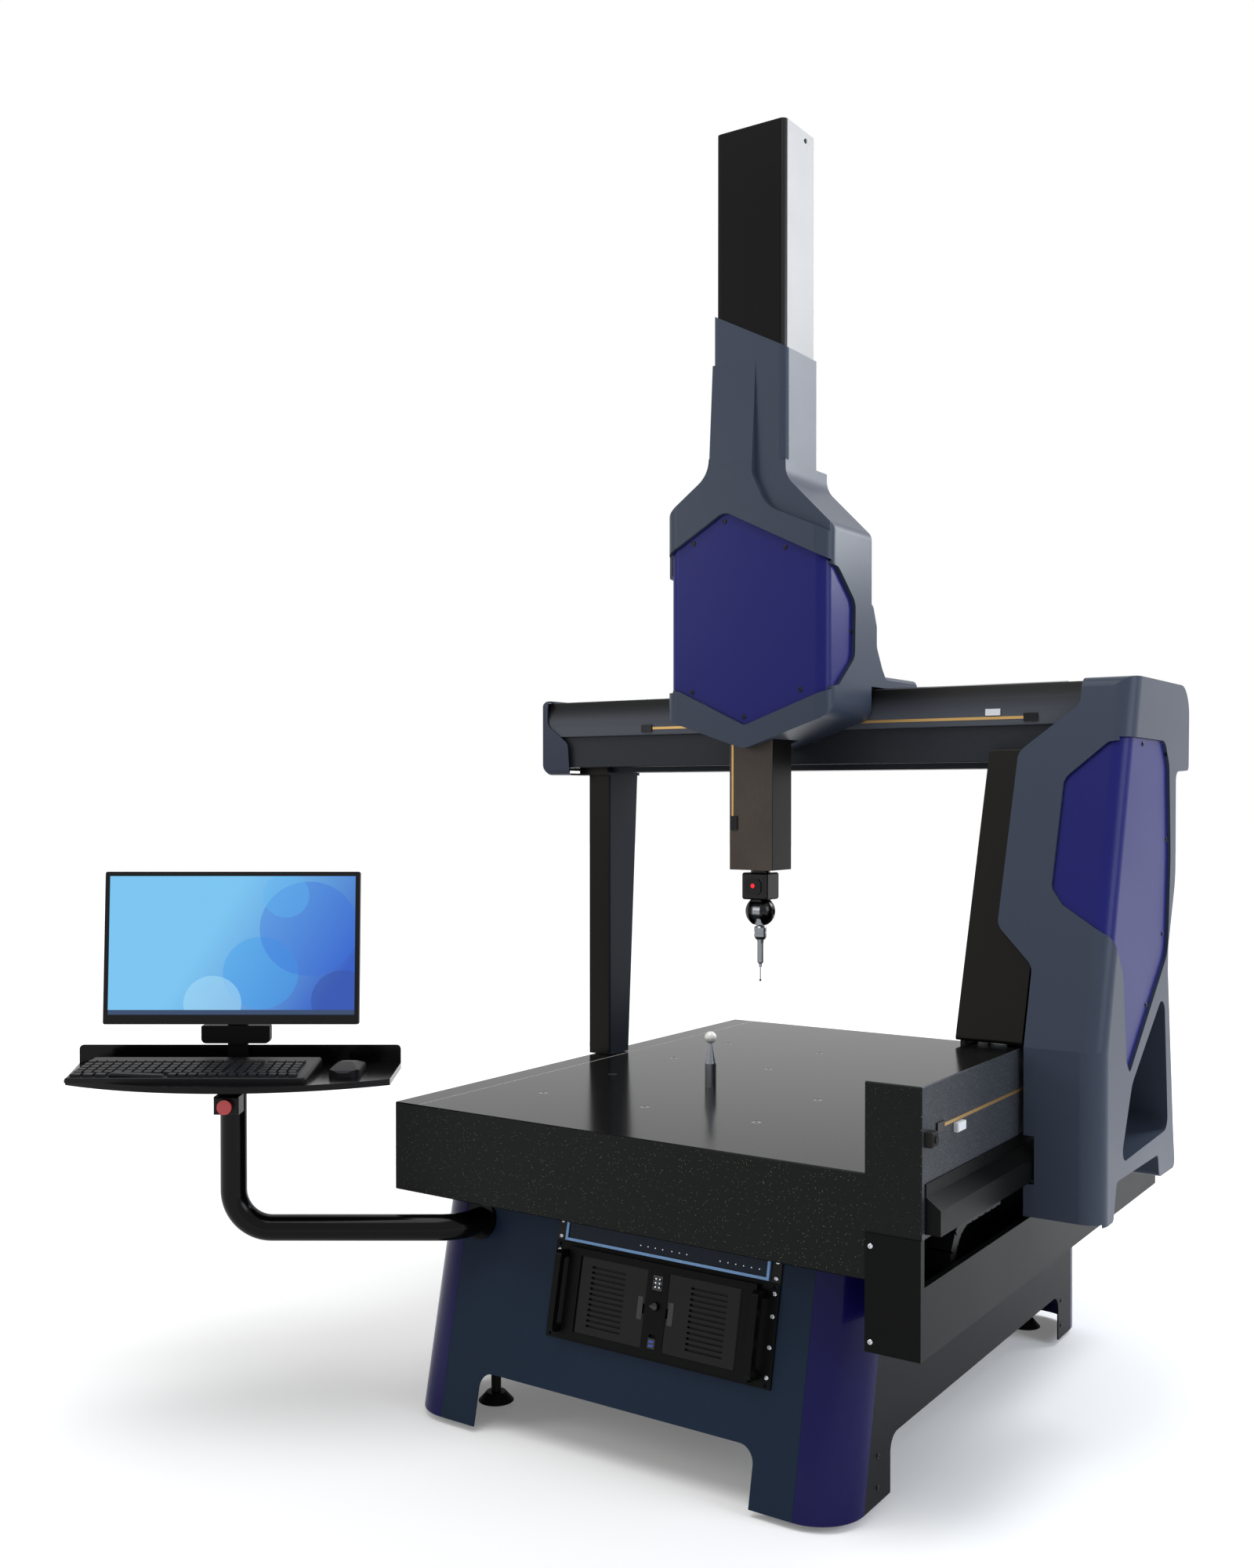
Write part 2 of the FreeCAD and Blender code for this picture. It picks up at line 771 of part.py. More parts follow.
def scale(start, end, x_face, z, clamps):
    """Scale tape on an upright X face, running along Y, with its clamps."""
    half = tape_width / 2
    pieces = [box(x_face, x_face + tape_thick, start, end, z - half, z + half)]
    for y in clamps:
        pieces.append(box(x_face, x_face + clamp_thick, y, y + clamp_length,
                          z - clamp_height / 2, z + clamp_height / 2))
    return pieces


def y_scale():
    pieces = scale(y_tape_start, y_tape_end, rail_right, y_tape_z,
                   (y_tape_start - clamp_length, y_tape_end))
    mark = box(rail_right, rail_right + 9, y_tape_start + 46, y_tape_start + 80,
               y_tape_z - 20, y_tape_z - 4.5)
    return Part.Compound([fuse(pieces), soften(mark, 3.0, lambda c: c.x > rail_right + 8)])


def end_stops():
    """Rubber travel stops with a cap screw, at both ends of the rail's outer face."""
    stops = []
    for y in (6.0, table_depth - 34.0):
        block = box(rail_right, rail_right + 15, y, y + 24, y_tape_z - 22, y_tape_z + 2)
        block = soften(block, 3.0, lambda c: c.x > rail_right + 14)
        screw = cylinder(6, (rail_right + 14, y + 12, y_tape_z - 10),
                         (rail_right + 18, y + 12, y_tape_z - 10))
        stops.append(fuse([block, screw]))
    return Part.Compound(stops)


# ---------------------------------------------------------------- bridge
def leg_front(z):
    return leg_front_y + leg_slope * (z - leg_base_z)


def drive_leg():
    """Right leg: ribbed casting on the rail, with the outer bearing plate and motor arm."""
    top = beam_bottom
    rear_top = beam_rear + 2
    outline = [(leg_front_y, leg_base_z, 6), (leg_rear_y, leg_base_z, 6),
               (leg_rear_y, leg_base_z + 40, 30), (rear_top + 12, leg_base_z + 125, 60),
               (rear_top, top, 0),
               (beam_front - 1, top, 0), (beam_front - 1, leg_lip_top, 0),
               (leg_front(leg_lip_top), leg_lip_top, 4)]
    body = along_x(outline, leg_inner, leg_outer)
    mid = leg_base_z + 300
    lower = [(leg_front(leg_base_z) + 44, leg_base_z + 40, 10), (leg_rear_y - 80, leg_base_z + 40, 10),
             (leg_rear_y - 76, mid - 12, 10), (leg_front(mid) + 16, mid - 12, 10)]
    upper = [(leg_front(mid) + 24, mid + 12, 10), (leg_rear_y - 74, mid + 12, 10),
             (rear_top - 24, top - 30, 10), (leg_front(top) + 24, top - 30, 10)]
    for pocket in (lower, upper):
        body = body.cut(along_x(pocket, leg_inner + leg_wall, leg_outer + 1))
    inner_plate = [box(leg_inner, leg_inner + 9, y - 34, y + 34, rail_top - 66, leg_base_z + 2)
                   for y in (leg_front_y + 60, leg_rear_y - 60)]
    plate_x = rail_right + channel_depth + 3
    strip = box(plate_x, plate_x + 8, leg_front_y + 24, leg_rear_y - 40,
                rail_top - 66, leg_base_z + 20)
    spacer = box(leg_outer - 1, plate_x + 1, leg_front_y + 64, leg_rear_y - 64,
                 leg_base_z + 1, leg_base_z + 20)
    arm = box(plate_x, plate_x + 8, leg_front_y + 18, leg_front_y + 58,
              drive_bar_top - 66, leg_base_z + 18)
    leg = fuse([body, strip, spacer, arm] + inner_plate)
    y, z = y_roller_axis()
    leg = leg.cut(cylinder(7, (plate_x - 1, y, z), (plate_x + 9, y, z)))
    pockets = [cylinder(bearing_radius + 2, (x, y, leg_base_z - 1), (x, y, leg_base_z + 12))
               for x, y in top_bearing_places()]
    return leg.cut(pockets)


def top_bearing_places():
    x = (rail_left + rail_right) / 2
    return [(x, leg_front_y + 50), (x, (leg_front_y + leg_rear_y) / 2), (x, leg_rear_y - 50)]


def y_roller_axis():
    return leg_front_y + 38, drive_bar_top - 14 - roller_radius - running_fit


def bearing(centre, direction, backing):
    """Round air bearing with its ball stud; the centre is the face's centre."""
    c = V(*centre)
    d = V(*direction)
    pad = Part.makeCylinder(bearing_radius, bearing_thick, c, d)
    stud = Part.makeCylinder(7, backing, c + d * (bearing_thick - 1), d)
    return fuse([pad, stud])


def bridge_bearings():
    gap = bridge_clearance
    pads = [bearing((x, y, rail_top + gap), (0, 0, 1), leg_base_z + 12 - rail_top - gap - 13)
            for x, y in top_bearing_places()]
    z = rail_top - 36
    plate_x = rail_right + channel_depth + 3
    for y in (leg_front_y + 60, leg_rear_y - 60):
        pads.append(Part.makeCylinder(bearing_radius, rail_left - gap - leg_inner - 9,
                                      V(leg_inner + 9, y, z), V(1, 0, 0)))
        pads.append(bearing((rail_right + gap, y, z), (1, 0, 0),
                            plate_x - rail_right - gap - bearing_thick + 1))
    x = (left_leg_outer + left_leg_inner) / 2
    y = left_leg_front + left_leg_foot / 2
    foot = Part.makeCylinder(22, 16, V(x, y, table_height + gap), V(0, 0, 1))
    pads.append(foot)
    return Part.Compound(pads)


def left_leg():
    base = table_height + 2.0
    head = beam_bottom - left_leg_plate
    def outline(d):
        return [(left_leg_front + d, base, 0), (left_leg_front + left_leg_foot - d, base, 0),
                (left_leg_front + left_leg_head - d, head, 0), (left_leg_front + d, head, 0)]
    outer = along_x(outline(0), left_leg_outer, left_leg_inner)
    outer = soften(outer, 4.0, lambda c: base + 50 < c.z < head - 50)
    inner = along_x(outline(left_leg_wall), left_leg_outer + left_leg_wall,
                    left_leg_inner - left_leg_wall)
    shelf_z = table_height + bridge_clearance + 16
    shelf = box(left_leg_outer + 1, left_leg_inner - 1, left_leg_front + 1,
                left_leg_front + left_leg_foot - 1, shelf_z, shelf_z + 12)
    plate = box(left_leg_outer - 19, left_leg_inner, left_leg_front - 10,
                left_leg_front + left_leg_head + 6, head, beam_bottom)
    return fuse([outer.cut(inner), shelf, plate])


def beam_outline():
    """Beam's section as (y, z, radius): flat lower front, ledge, upper front curved back."""
    front = beam_front - beam_ledge_reach
    return [(beam_front, beam_bottom, 2), (beam_front, beam_ledge, 0), (front, beam_ledge, 2),
            (front, beam_ledge + 42, 60), (beam_front + 8, beam_top, 6), (beam_rear, beam_top, 4),
            (beam_rear, beam_bottom, 4)]


def cross_beam():
    body = along_x(beam_outline(), beam_left, beam_right)
    middle = (beam_front + beam_rear) / 2
    w = beam_wall
    cells = [(beam_front + w + 4, middle - w / 2), (middle + w / 2, beam_rear - w)]
    for y0, y1 in cells:
        cell = [(y0, beam_bottom + w, 8), (y1, beam_bottom + w, 8), (y1, beam_top - w, 8),
                (y0, beam_top - w, 8)]
        body = body.cut(along_x(cell, beam_left - 1, beam_right + 1))
    bar = box(left_leg_inner + 1, leg_inner - 1, middle - base_bar_width / 2,
              middle + base_bar_width / 2, beam_bottom - base_bar_height, beam_bottom + 1)
    return fuse([body, bar])


def left_end_cap():
    """Moulded cap over the beam's left end, its open edge swept in an S."""
    front = beam_front - beam_ledge_reach - bridge_clearance - cap_wall
    low = beam_bottom - left_leg_plate
    high = beam_top + cap_wall + bridge_clearance
    seam_low = left_leg_outer - 20
    outline = [(cap_end, low, 26), (cap_end, high, 14), (beam_left + 4, high, 0),
               (beam_left + 4, high - 58, 22), (seam_low - 4, beam_ledge - 16, 22),
               (seam_low, beam_bottom, 0), (seam_low, low, 0)]
    rear = beam_rear + bridge_clearance + cap_wall
    outer = along_y(outline, front, rear)
    outer = soften(outer, 12.0, lambda c: abs(c.x - cap_end) < 14 and (
        abs(c.y - front) < 0.5 or abs(c.y - rear) < 0.5))
    inner = box(cap_end + cap_wall, 200, front + cap_wall, rear - cap_wall, low + cap_wall,
                high - cap_wall)
    keep = box(beam_left + 0.5, 200, front + cap_wall, rear - cap_wall,
               beam_bottom - bridge_clearance, high - cap_wall)
    leg_room = box(left_leg_outer - 20, 200, front - 1, rear + 1, low - 1, beam_bottom)
    return outer.cut([inner, keep, leg_room])


def x_scale():
    face = beam_front - beam_ledge_reach
    half = tape_width / 2
    pieces = [box(x_tape_start, x_tape_end, face - tape_thick, face, x_tape_z - half,
                  x_tape_z + half)]
    for x in (x_tape_start - clamp_length, x_tape_end):
        pieces.append(box(x, x + clamp_length, face - clamp_thick, face,
                          x_tape_z - clamp_height / 2, x_tape_z + clamp_height / 2))
    mark = box(x_tape_end - 77, x_tape_end - 47, face - 3, face, x_tape_z + 5, x_tape_z + 18)
    return Part.Compound([fuse(pieces), mark])


def x_drive_bar():
    return box(left_leg_outer, leg_outer, x_bar_y, x_bar_y + x_bar_width, beam_top,
               beam_top + x_bar_height)


def y_drive_motor():
    y, z = y_roller_axis()
    x = rail_right + channel_depth + 3 + 8
    flange = box(x, x + 6, y - 19, y + 19, z - 19, z + 19)
    body = cylinder(18, (x + 5, y, z), (x + 70, y, z))
    return fuse([flange, body])


def y_drive_roller():
    y, z = y_roller_axis()
    x = rail_right
    wheel = cylinder(roller_radius, (x + 1, y, z), (x + drive_bar_size, y, z))
    shaft = cylinder(5, (x + drive_bar_size - 1, y, z), (x + channel_depth + 10.5, y, z))
    return fuse([wheel, shaft])


# ---------------------------------------------------------------- tower (drive leg's cover)
def tower_profile():
    """Side view as (y, z, radius), front first."""
    return [(tower_front, tower_bottom, 8), (tower_front, tower_bend, 0),
            (tower_front + tower_slope * (tower_top - tower_bend), tower_top, 26), (1022, tower_top, 60), (1018, 1282, 12), (918, 1278, 20),
            (918, 1062, 160), (866, 930, 60), (864, 880, 60), (908, 556, 60), (922, 479, 14),
            (806, 481, 14), (796, 527, 12), (522, 531, 14), (504, tower_bottom, 10)]


def tower_face():
    """Front view as (x, z, radius)."""
    far = tower_right + 40
    return [(tower_left, tower_bottom - 60, 0), (far, tower_bottom - 60, 0),
            (far, tower_top + 60, 0), (1174, tower_top + 60, 0), (1174, 1404, 20),
            (tower_wing + 4, 1314, 30), (tower_wing, 988, 30), (tower_left, 918, 30),
            (tower_left, 616, 0), (rail_right + channel_depth + 4, 616, 0),
            (rail_right + channel_depth + 4, 528, 0), (tower_left, 528, 0)]


def tower_corner_prism(depth, left):
    """Space whose front-right corner is rounded, upright below and leaning above."""
    rings = []
    side = tower_right - depth
    for z in (tower_bottom - 20, tower_bend, tower_top + 20):
        front = tower_front + depth + tower_slope * max(0.0, z - tower_bend)
        plan = [(left, front, 0), (side, front, tower_corner - depth), (side, 1100, 0),
                (left, 1100, 0)]
        rings.append(closed_wire(plan, lambda a, b, h=z: V(a, b, h)))
    return Part.makeLoft(rings[:2], True, True).fuse(Part.makeLoft(rings[1:], True, True))


def tower_form(depth, left):
    """The tower's rounded outer form, moved inwards by a depth."""
    form = along_x(inset(tower_profile(), depth), left, tower_right - depth)
    return form.common(tower_corner_prism(depth, left))


def recess_outline():
    """The window under the inset panel, side view."""
    return [(546, 558, 20), (868, 566, 26), (838, 846, 26), (618, 694, 60)]


def inset_windows(grow):
    """Space of the inset panel, front part and side part, grown outwards."""
    front = inset([(1330, 1341, 0), (1234, 1330, 20), (1158, 1262, 26), (1155, 1060, 26),
                   (1178, 1030, 20), (1330, 937, 0)], -grow)
    side = inset([(380, 1341, 0), (836, 1337, 30), (868, 1290, 40), (880, 1110, 400),
                  (862, 918, 60), (602, 716, 10), (580, 742, 20), (560, 900, 60),
                  (500, 983, 0), (380, 983, 0)], -grow)
    return along_y(front, 380, 680).fuse(along_x(side, 1252, 1300))


def tower_cover():
    outline = along_y(tower_face(), 380, 1100)
    skin = tower_form(0, tower_wing - 20).cut(tower_form(tower_wall, tower_wing - 40))
    lip_depth = inset_depth + inset_thick + 3
    skin_deep = tower_form(0, tower_wing - 20).cut(tower_form(lip_depth, tower_wing - 40))
    window = inset_windows(inset_gap)
    rim = skin_deep.common(inset_windows(inset_gap + 6)).cut(window)
    floor_x = tower_right - 108
    recess = along_x(recess_outline(), floor_x - 10, tower_right + 20)
    recess_wall = along_x(inset(recess_outline(), -tower_wall), floor_x, tower_right - 1)
    recess_wall = recess_wall.common(tower_form(1, tower_wing - 40))
    cover = skin.cut(window).fuse([rim, recess_wall]).cut(recess)
    cover = cover.common(outline)
    bottom = box(tower_wing - 40, tower_right - tower_wall, 300, 499, tower_bottom - 10,
                 tower_bottom + tower_wall + 1)
    cover = cover.cut(bottom)
    beam_room = along_x(inset(beam_outline(), -bridge_clearance), tower_wing - 40, beam_right + 1)
    return cover.cut(beam_room)


def tower_inset():
    skin = tower_form(inset_depth, tower_wing - 20).cut(
        tower_form(inset_depth + inset_thick, tower_wing - 40))
    return skin.common(inset_windows(0))


# ---------------------------------------------------------------- carriage
def carriage_outline(raised):
    """Front view as (x, z, radius); the raised part stops short of the right shoulder."""
    mid = ram_centre_x
    lower = [(mid, carriage_low, 40), (carriage_right, 1388, 34)]
    if raised:
        shoulder = [(carriage_right, 1746, 20), (604, 1808, 60), (raised_edge, 1876, 30),
                    (raised_edge, 1900, 0)]
    else:
        shoulder = [(carriage_right, 1762, 24), (neck_right, 1866, 50), (neck_right, 1900, 0)]
    return lower + shoulder + [(neck_left, 1900, 0), (neck_left, 1886, 60),
                               (carriage_left, 1808, 34), (carriage_left, 1388, 34)]


def carriage_form(depth, rear=0.0):
    """Outer form of the carriage cover, moved inwards by a depth."""
    high = along_y(inset(carriage_outline(True), depth), carriage_front + depth, neck_rear)
    back = along_y(inset(carriage_outline(False), depth), neck_front + depth,
                   carriage_rear + rear)
    r = carriage_corner - depth
    plan = [(carriage_left + depth, carriage_front + depth, r),
            (carriage_right - depth, carriage_front + depth, r),
            (carriage_right - depth, carriage_rear + rear, 0),
            (carriage_left + depth, carriage_rear + rear, 0)]
    body = high.fuse(back).common(along_z(plan, carriage_low - 20, 1950))
    neck_plan = [(neck_left + depth, neck_front + depth, 12 - depth),
                 (neck_right - depth, neck_front + depth, 15 - depth),
                 (neck_right - depth, neck_rear - depth, 0), (neck_left + depth, neck_rear - depth, 0)]
    neck = along_z(neck_plan, 1830, neck_top_left + 1)
    brow = [(carriage_front + depth, 1800, 0), (carriage_front + depth, 1886, 100),
            (neck_front + depth, raised_top, 0), (neck_front + depth + 40, raised_top, 0),
            (neck_front + depth + 40, 1800, 0)]
    brow = along_x(brow, neck_left + depth, raised_edge - depth)
    return body.multiFuse([neck, brow])


def hex_window(grow):
    """Space of the carriage's inset panel: front, wrapped round both sides."""
    front = inset([(300, 1700, 0), (397, 1744, 30), (506, 1806, 30), (742, 1690, 0),
                   (800, 1690, 0), (800, 1440, 0), (742, 1440, 0), (553, 1372, 20),
                   (397, 1446, 20), (300, 1460, 0)], -grow)
    side = inset([(400, 1690, 0), (474, 1680, 30), (550, 1618, 30), (547, 1508, 30),
                  (474, 1448, 20), (400, 1440, 0)], -grow)
    low = carriage_left - 10
    high = carriage_right + 10
    prism = along_y(front, carriage_front - 10, carriage_front + 22)
    return prism.fuse([along_x(side, low, carriage_left + 22),
                       along_x(side, carriage_right - 22, high)])


def carriage_cover():
    inside = carriage_form(carriage_wall, 20.0)
    skin = carriage_form(0).cut(inside)
    window = hex_window(inset_gap)
    deep = carriage_form(0).cut(carriage_form(carriage_inset_depth + inset_thick + 3, 20.0))
    rim = deep.common(hex_window(inset_gap + 6)).cut(window)
    cover = skin.cut(window).fuse(rim)
    slope = [(neck_left - 60, neck_top_left + 32, 0), (neck_right + 60, neck_top_right - 32, 0),
             (neck_right + 60, neck_top_left + 90, 0), (neck_left - 60, neck_top_left + 90, 0)]
    cover = cover.cut(along_y(slope, carriage_front - 50, neck_rear + 50))
    throat = box(ram_left - 8, ram_right + 8, ram_front - 8, ram_rear + 18, carriage_low - 20,
                 carriage_low + 90)
    return cover.cut(throat)


def carriage_inset():
    d = carriage_inset_depth
    skin = carriage_form(d).cut(carriage_form(d + inset_thick, 20.0))
    return skin.common(hex_window(0))


def column_cover():
    """Black sheet column over the ram, closed on top."""
    def plan(d):
        left = column_left + d
        right = column_right - d
        return [(left, column_front + d, 12 - d), (right, column_front + d, 12 - d),
                (right, column_rear - d, 0), (left, column_rear - d, 0)]
    outer = along_z(plan(0), column_foot, column_top)
    return outer.cut(along_z(plan(column_sheet), column_foot - 1, column_top - column_sheet))


def carriage_frame():
    """Front plate, ram collars, column shelf, saddle over the beam and rear plate."""
    left = carriage_left + 40
    right = carriage_right - 40
    plate = box(left, right, 592, 610, 1392, column_foot)
    tongue = box(ram_centre_x - 62, ram_centre_x + 62, 592, 610, front_pad_z + 2, 1393)
    saddle = box(left, right, 592, beam_rear + 30, saddle_bottom, saddle_bottom + saddle_plate)
    rear = box(left, right, beam_rear + 18, beam_rear + 30, beam_bottom + 12, saddle_bottom + 1)
    frame = [plate, tongue, saddle, rear]
    for z in (1400.0, 1740.0):
        collar = box(ram_left - 22, ram_right + 22, ram_front - 14, 594, z, z + 40)
        frame.append(collar)
    frame.append(box(column_left - 8, column_right + 8, column_front, 594, 1779, column_foot))
    body = fuse(frame)
    throat = box(ram_left - 10, ram_right + 10, ram_front - 8, ram_rear + 20, 1399, column_foot + 1)
    x, z = x_roller_axis()
    window = box(x - 24, x + 24, 610, x_bar_y + x_bar_width + 6, saddle_bottom - 1,
                 saddle_bottom + saddle_plate + 1)
    return body.cut([throat, window])


def beam_bearing_places():
    return (carriage_left + 100, carriage_right - 100)


def carriage_bearings():
    gap = bridge_clearance
    pads = []
    for side in (-1, 1):
        x = ram_centre_x + side * 52
        pads.append(fuse([Part.makeCylinder(12, bearing_thick, V(x, beam_front - gap, front_pad_z),
                                            V(0, -1, 0)),
                          cylinder(7, (x, beam_front - bearing_thick, front_pad_z), (x, 610, front_pad_z))]))
    for x in beam_bearing_places():
        for y in (beam_front + 92, beam_rear - 40):
            pads.append(Part.makeCylinder(bearing_radius, saddle_bottom - beam_top - gap,
                                          V(x, y, beam_top + gap), V(0, 0, 1)))
        pads.append(Part.makeCylinder(bearing_radius, 18 - gap,
                                      V(x, beam_rear + gap, front_pad_z + 24), V(0, 1, 0)))
    for z in (1420.0, 1760.0):
        for side in (-1, 1):
            face = ram_left if side < 0 else ram_right
            pads.append(Part.makeCylinder(14, 10 - gap, V(face + side * gap, head_y, z),
                                          V(side, 0, 0)))
        pads.append(Part.makeCylinder(8, 8 - gap, V(ram_centre_x + 14, ram_front - gap, z),
                                      V(0, -1, 0)))
    return Part.Compound(pads)


def z_roller_axis():
    """Axis of the Z roller: y and z."""
    return ram_rear + 8 + roller_radius + running_fit, 1600.0


def x_roller_axis():
    """Axis of the X roller: x and z."""
    return ram_centre_x, beam_top + x_bar_height + x_roller_radius + running_fit


def carriage_motors():
    x, z = x_roller_axis()
    x_motor = fuse([box(x - 20, x + 20, 610, 615, beam_top + 3, z + 20),
                    cylinder(16, (x, 614, z), (x, beam_front, z))])
    x_motor = x_motor.cut(cylinder(4.3, (x, 630, z), (x, 641, z)))
    y, zz = z_roller_axis()
    x0 = ram_centre_x + 14
    z_motor = fuse([box(x0, x0 + 6, y - 12, 592, zz - 20, zz + 20),
                    cylinder(12, (x0 + 5, y, zz), (x0 + 70, y, zz))])
    return Part.Compound([x_motor, z_motor])


def x_drive_roller():
    x, z = x_roller_axis()
    wheel = cylinder(x_roller_radius, (x, x_bar_y + 1, z), (x, x_bar_y + x_bar_width - 1, z))
    return fuse([wheel, cylinder(4, (x, 632, z), (x, x_bar_y + 2, z))])


def z_drive_roller():
    y, z = z_roller_axis()
    wheel = cylinder(roller_radius, (ram_centre_x - 5, y, z), (ram_centre_x + 5, y, z))
    return fuse([wheel, cylinder(4, (ram_centre_x + 4, y, z), (ram_centre_x + 13.5, y, z))])


def rear_cover():
    """Hood behind the main cover, carried back over the saddle and down behind the beam."""
    low = saddle_bottom + saddle_plate
    back = beam_rear + 34
    foot = beam_bottom + 6
    outline = [(carriage_rear + 0.5, 1640, 0), (656, 1624, 20), (674, 1582, 20), (674, 1540, 20),
               (700, low + 26, 16), (716, low + 8, 10), (back + 10, low + 8, 16), (back + 10, foot, 8),
               (back - 3, foot, 0), (back - 3, 1400, 0), (carriage_rear + 0.5, 1400, 0)]
    left = carriage_left + 9
    right = carriage_right - 8
    outer = along_x(outline, left, right)
    outer = soften(outer, 8.0, lambda c: c.z > low + 12 and (abs(c.x - left) < 1
                                                            or abs(c.x - right) < 1) and c.y > 640)
    hollow = [(carriage_rear - 10, 1636, 0), (653, 1620, 16), (670, 1581, 16), (670, 1539, 16),
              (696, low + 24, 12), (714, low + 4, 8), (back - 3.5, low + 4, 0),
              (back - 3.5, 1390, 0), (carriage_rear - 10, 1390, 0)]
    inner = along_x(hollow, left + 4, right - 4)
    room = box(left - 1, right + 1, 500, beam_rear + 17.5, 1390,
               beam_top + x_bar_height + 1.5)
    return outer.cut([inner, room])


def balance_cylinder():
    """Air counterbalance, hung from a plate at the column's top, inside the hollow ram."""
    top = column_top - column_sheet
    x = ram_centre_x
    plate = box(column_left + column_sheet, column_right - column_sheet,
                column_front + 14, column_rear - column_sheet, top - 10, top - 4)
    low = top - 10 - z_travel_down - z_travel_up - 36
    barrel = cylinder(20, (x, head_y, low), (x, head_y, top - 9))
    bore = cylinder(16, (x, head_y, low + 6), (x, head_y, top - 12))
    gland = cylinder(6 + running_fit, (x, head_y, low - 1), (x, head_y, low + 7))
    return fuse([plate, barrel]).cut([bore, gland])


# ---------------------------------------------------------------- ram and head
def ram():
    left, right, rear = ram_left, ram_right, ram_rear
    body = along_z([(left, ram_front, 3), (right, ram_front, 3), (right, rear, 3), (left, rear, 3)],
                   ram_bottom, ram_top)
    w = ram_wall
    hollow = box(left + w, right - w, ram_front + w, rear - w, ram_bottom + ram_plug, ram_top + 1)
    bar = box(ram_centre_x - 6, ram_centre_x + 6, rear, rear + 8, ram_bottom + 130, ram_top - 40)
    body = body.cut(hollow)
    bore = cylinder(10, (ram_centre_x, head_y, ram_bottom - 1), (ram_centre_x, head_y,
                                                                 ram_bottom + 12))
    return fuse([body, bar]).cut(bore)


def z_scale():
    x = ram_left + 6
    low = ram_bottom + 110
    face = ram_front
    tape = box(x, x + tape_width * 0.8, face - tape_thick, face, low, ram_top - 60)
    clamp = box(x - 2, x + 14, face - clamp_thick, face, low - clamp_length, low)
    return fuse([tape, clamp])


def balance_rod():
    x = ram_centre_x
    low = ram_bottom + ram_plug
    top = column_top - column_sheet - 14 - z_travel_up - 6
    rod = cylinder(6, (x, head_y, low), (x, head_y, top - 10))
    piston = cylinder(15.9, (x, head_y, top - 14), (x, head_y, top))
    return fuse([rod, piston])


def head_body():
    half = head_width / 2
    x, y = ram_centre_x, head_y
    top = ram_bottom - head_top_gap
    corners = [(x - half, y - half, 9), (x + half, y - half, 9), (x + half, y + half, 9),
               (x - half, y + half, 9)]
    body = along_z(corners, head_bottom, top)
    body = bevel(body, 3.0, lambda c: c.z > top - 1 or c.z < head_bottom + 1)
    shank = cylinder(10 - running_fit, (x, y, top - 1), (x, y, ram_bottom + 11))
    collar = cylinder(20, (x, y, top - 1), (x, y, ram_bottom))
    lamp = cylinder(8.5, (x, y - half - 1.5, (head_bottom + top) / 2 + 2),
                    (x, y - half + 1, (head_bottom + top) / 2 + 2))
    bore = cylinder(8 + running_fit, (x, y, head_bottom - 1), (x, y, head_bottom + 14))
    return fuse([body, shank, collar, lamp]).cut(bore)


def head_knuckle():
    x, y, z = ram_centre_x, head_y, ball_centre_z
    ball = Part.makeSphere(ball_radius, V(x, y, z))
    top = head_bottom - head_gap
    ball = ball.common(box(x - 40, x + 40, y - 40, y + 40, z - 40, top))
    slot = box(x - slot_half, x + slot_half, y - 40, y + 40, z - 40, z + web_height)
    nose = box(x - slot_half, x + slot_half, y - 40, y - 18, z, z + 40)
    spindle = cylinder(8, (x, y, top - 1), (x, y, head_bottom + 13))
    bore = cylinder(6, (x - 40, y, z), (x + 40, y, z))
    return fuse([ball.cut([slot, nose]), spindle]).cut(bore)


def head_ball():
    """Tilting hub with its trunnion and the probe's socket."""
    x, y, z = ram_centre_x, head_y, ball_centre_z
    half = slot_half - head_gap
    hub = cylinder(hub_radius, (x - half, y, z), (x + half, y, z))
    pin = cylinder(6 - running_fit, (x - 27, y, z), (x + 27, y, z))
    slab = box(x - half, x + half, y - 40, y + 40, z - 40, z - 15)
    nose = Part.makeSphere(ball_radius - 0.5, V(x, y, z)).common(slab)
    nose = nose.common(cylinder(probe_radius - 0.6, (x, y, z - 40), (x, y, z)))
    return fuse([hub, pin, nose])


def probe_body():
    x, y = ram_centre_x, head_y
    low = ball_centre_z - math.sqrt((ball_radius - 0.5) ** 2 - probe_radius ** 2)
    points = [(0, low - 3), (probe_radius - 2, low - 3), (probe_radius, low - 6),
              (probe_radius, probe_bottom + 6), (probe_radius - 3, probe_bottom),
              (module_radius + 1, probe_bottom), (module_radius, probe_bottom - 8),
              (module_radius, module_bottom + 3), (module_radius - 3, module_bottom),
              (0, module_bottom)]
    wire = Part.makePolygon([V(x + a, y, b) for a, b in points] + [V(x, y, low - 3)])
    body = Part.Face(wire).revolve(V(x, y, 0), V(0, 0, 1), 360)
    neck = cylinder(probe_radius - 4, (x, y, low - 4), (x, y, ball_centre_z - ball_radius + 0.5))
    groove = cylinder(probe_radius + 1, (x, y, low - 18), (x, y, low - 15))
    groove = groove.cut(cylinder(probe_radius - 1.2, (x, y, low - 20), (x, y, low - 10)))
    return fuse([body, neck]).cut(groove)


def stylus():
    x, y = ram_centre_x, head_y
    hub = cylinder(3.2, (x, y, module_bottom - 7), (x, y, module_bottom))
    stem = cylinder(stylus_radius, (x, y, tip_z), (x, y, module_bottom - 6))
    tip = Part.makeSphere(tip_radius, V(x, y, tip_z))
    return fuse([hub, stem, tip])


# ---------------------------------------------------------------- reference sphere
def sphere_place():
    return insert_first_x + insert_pitch, insert_first_y + insert_pitch


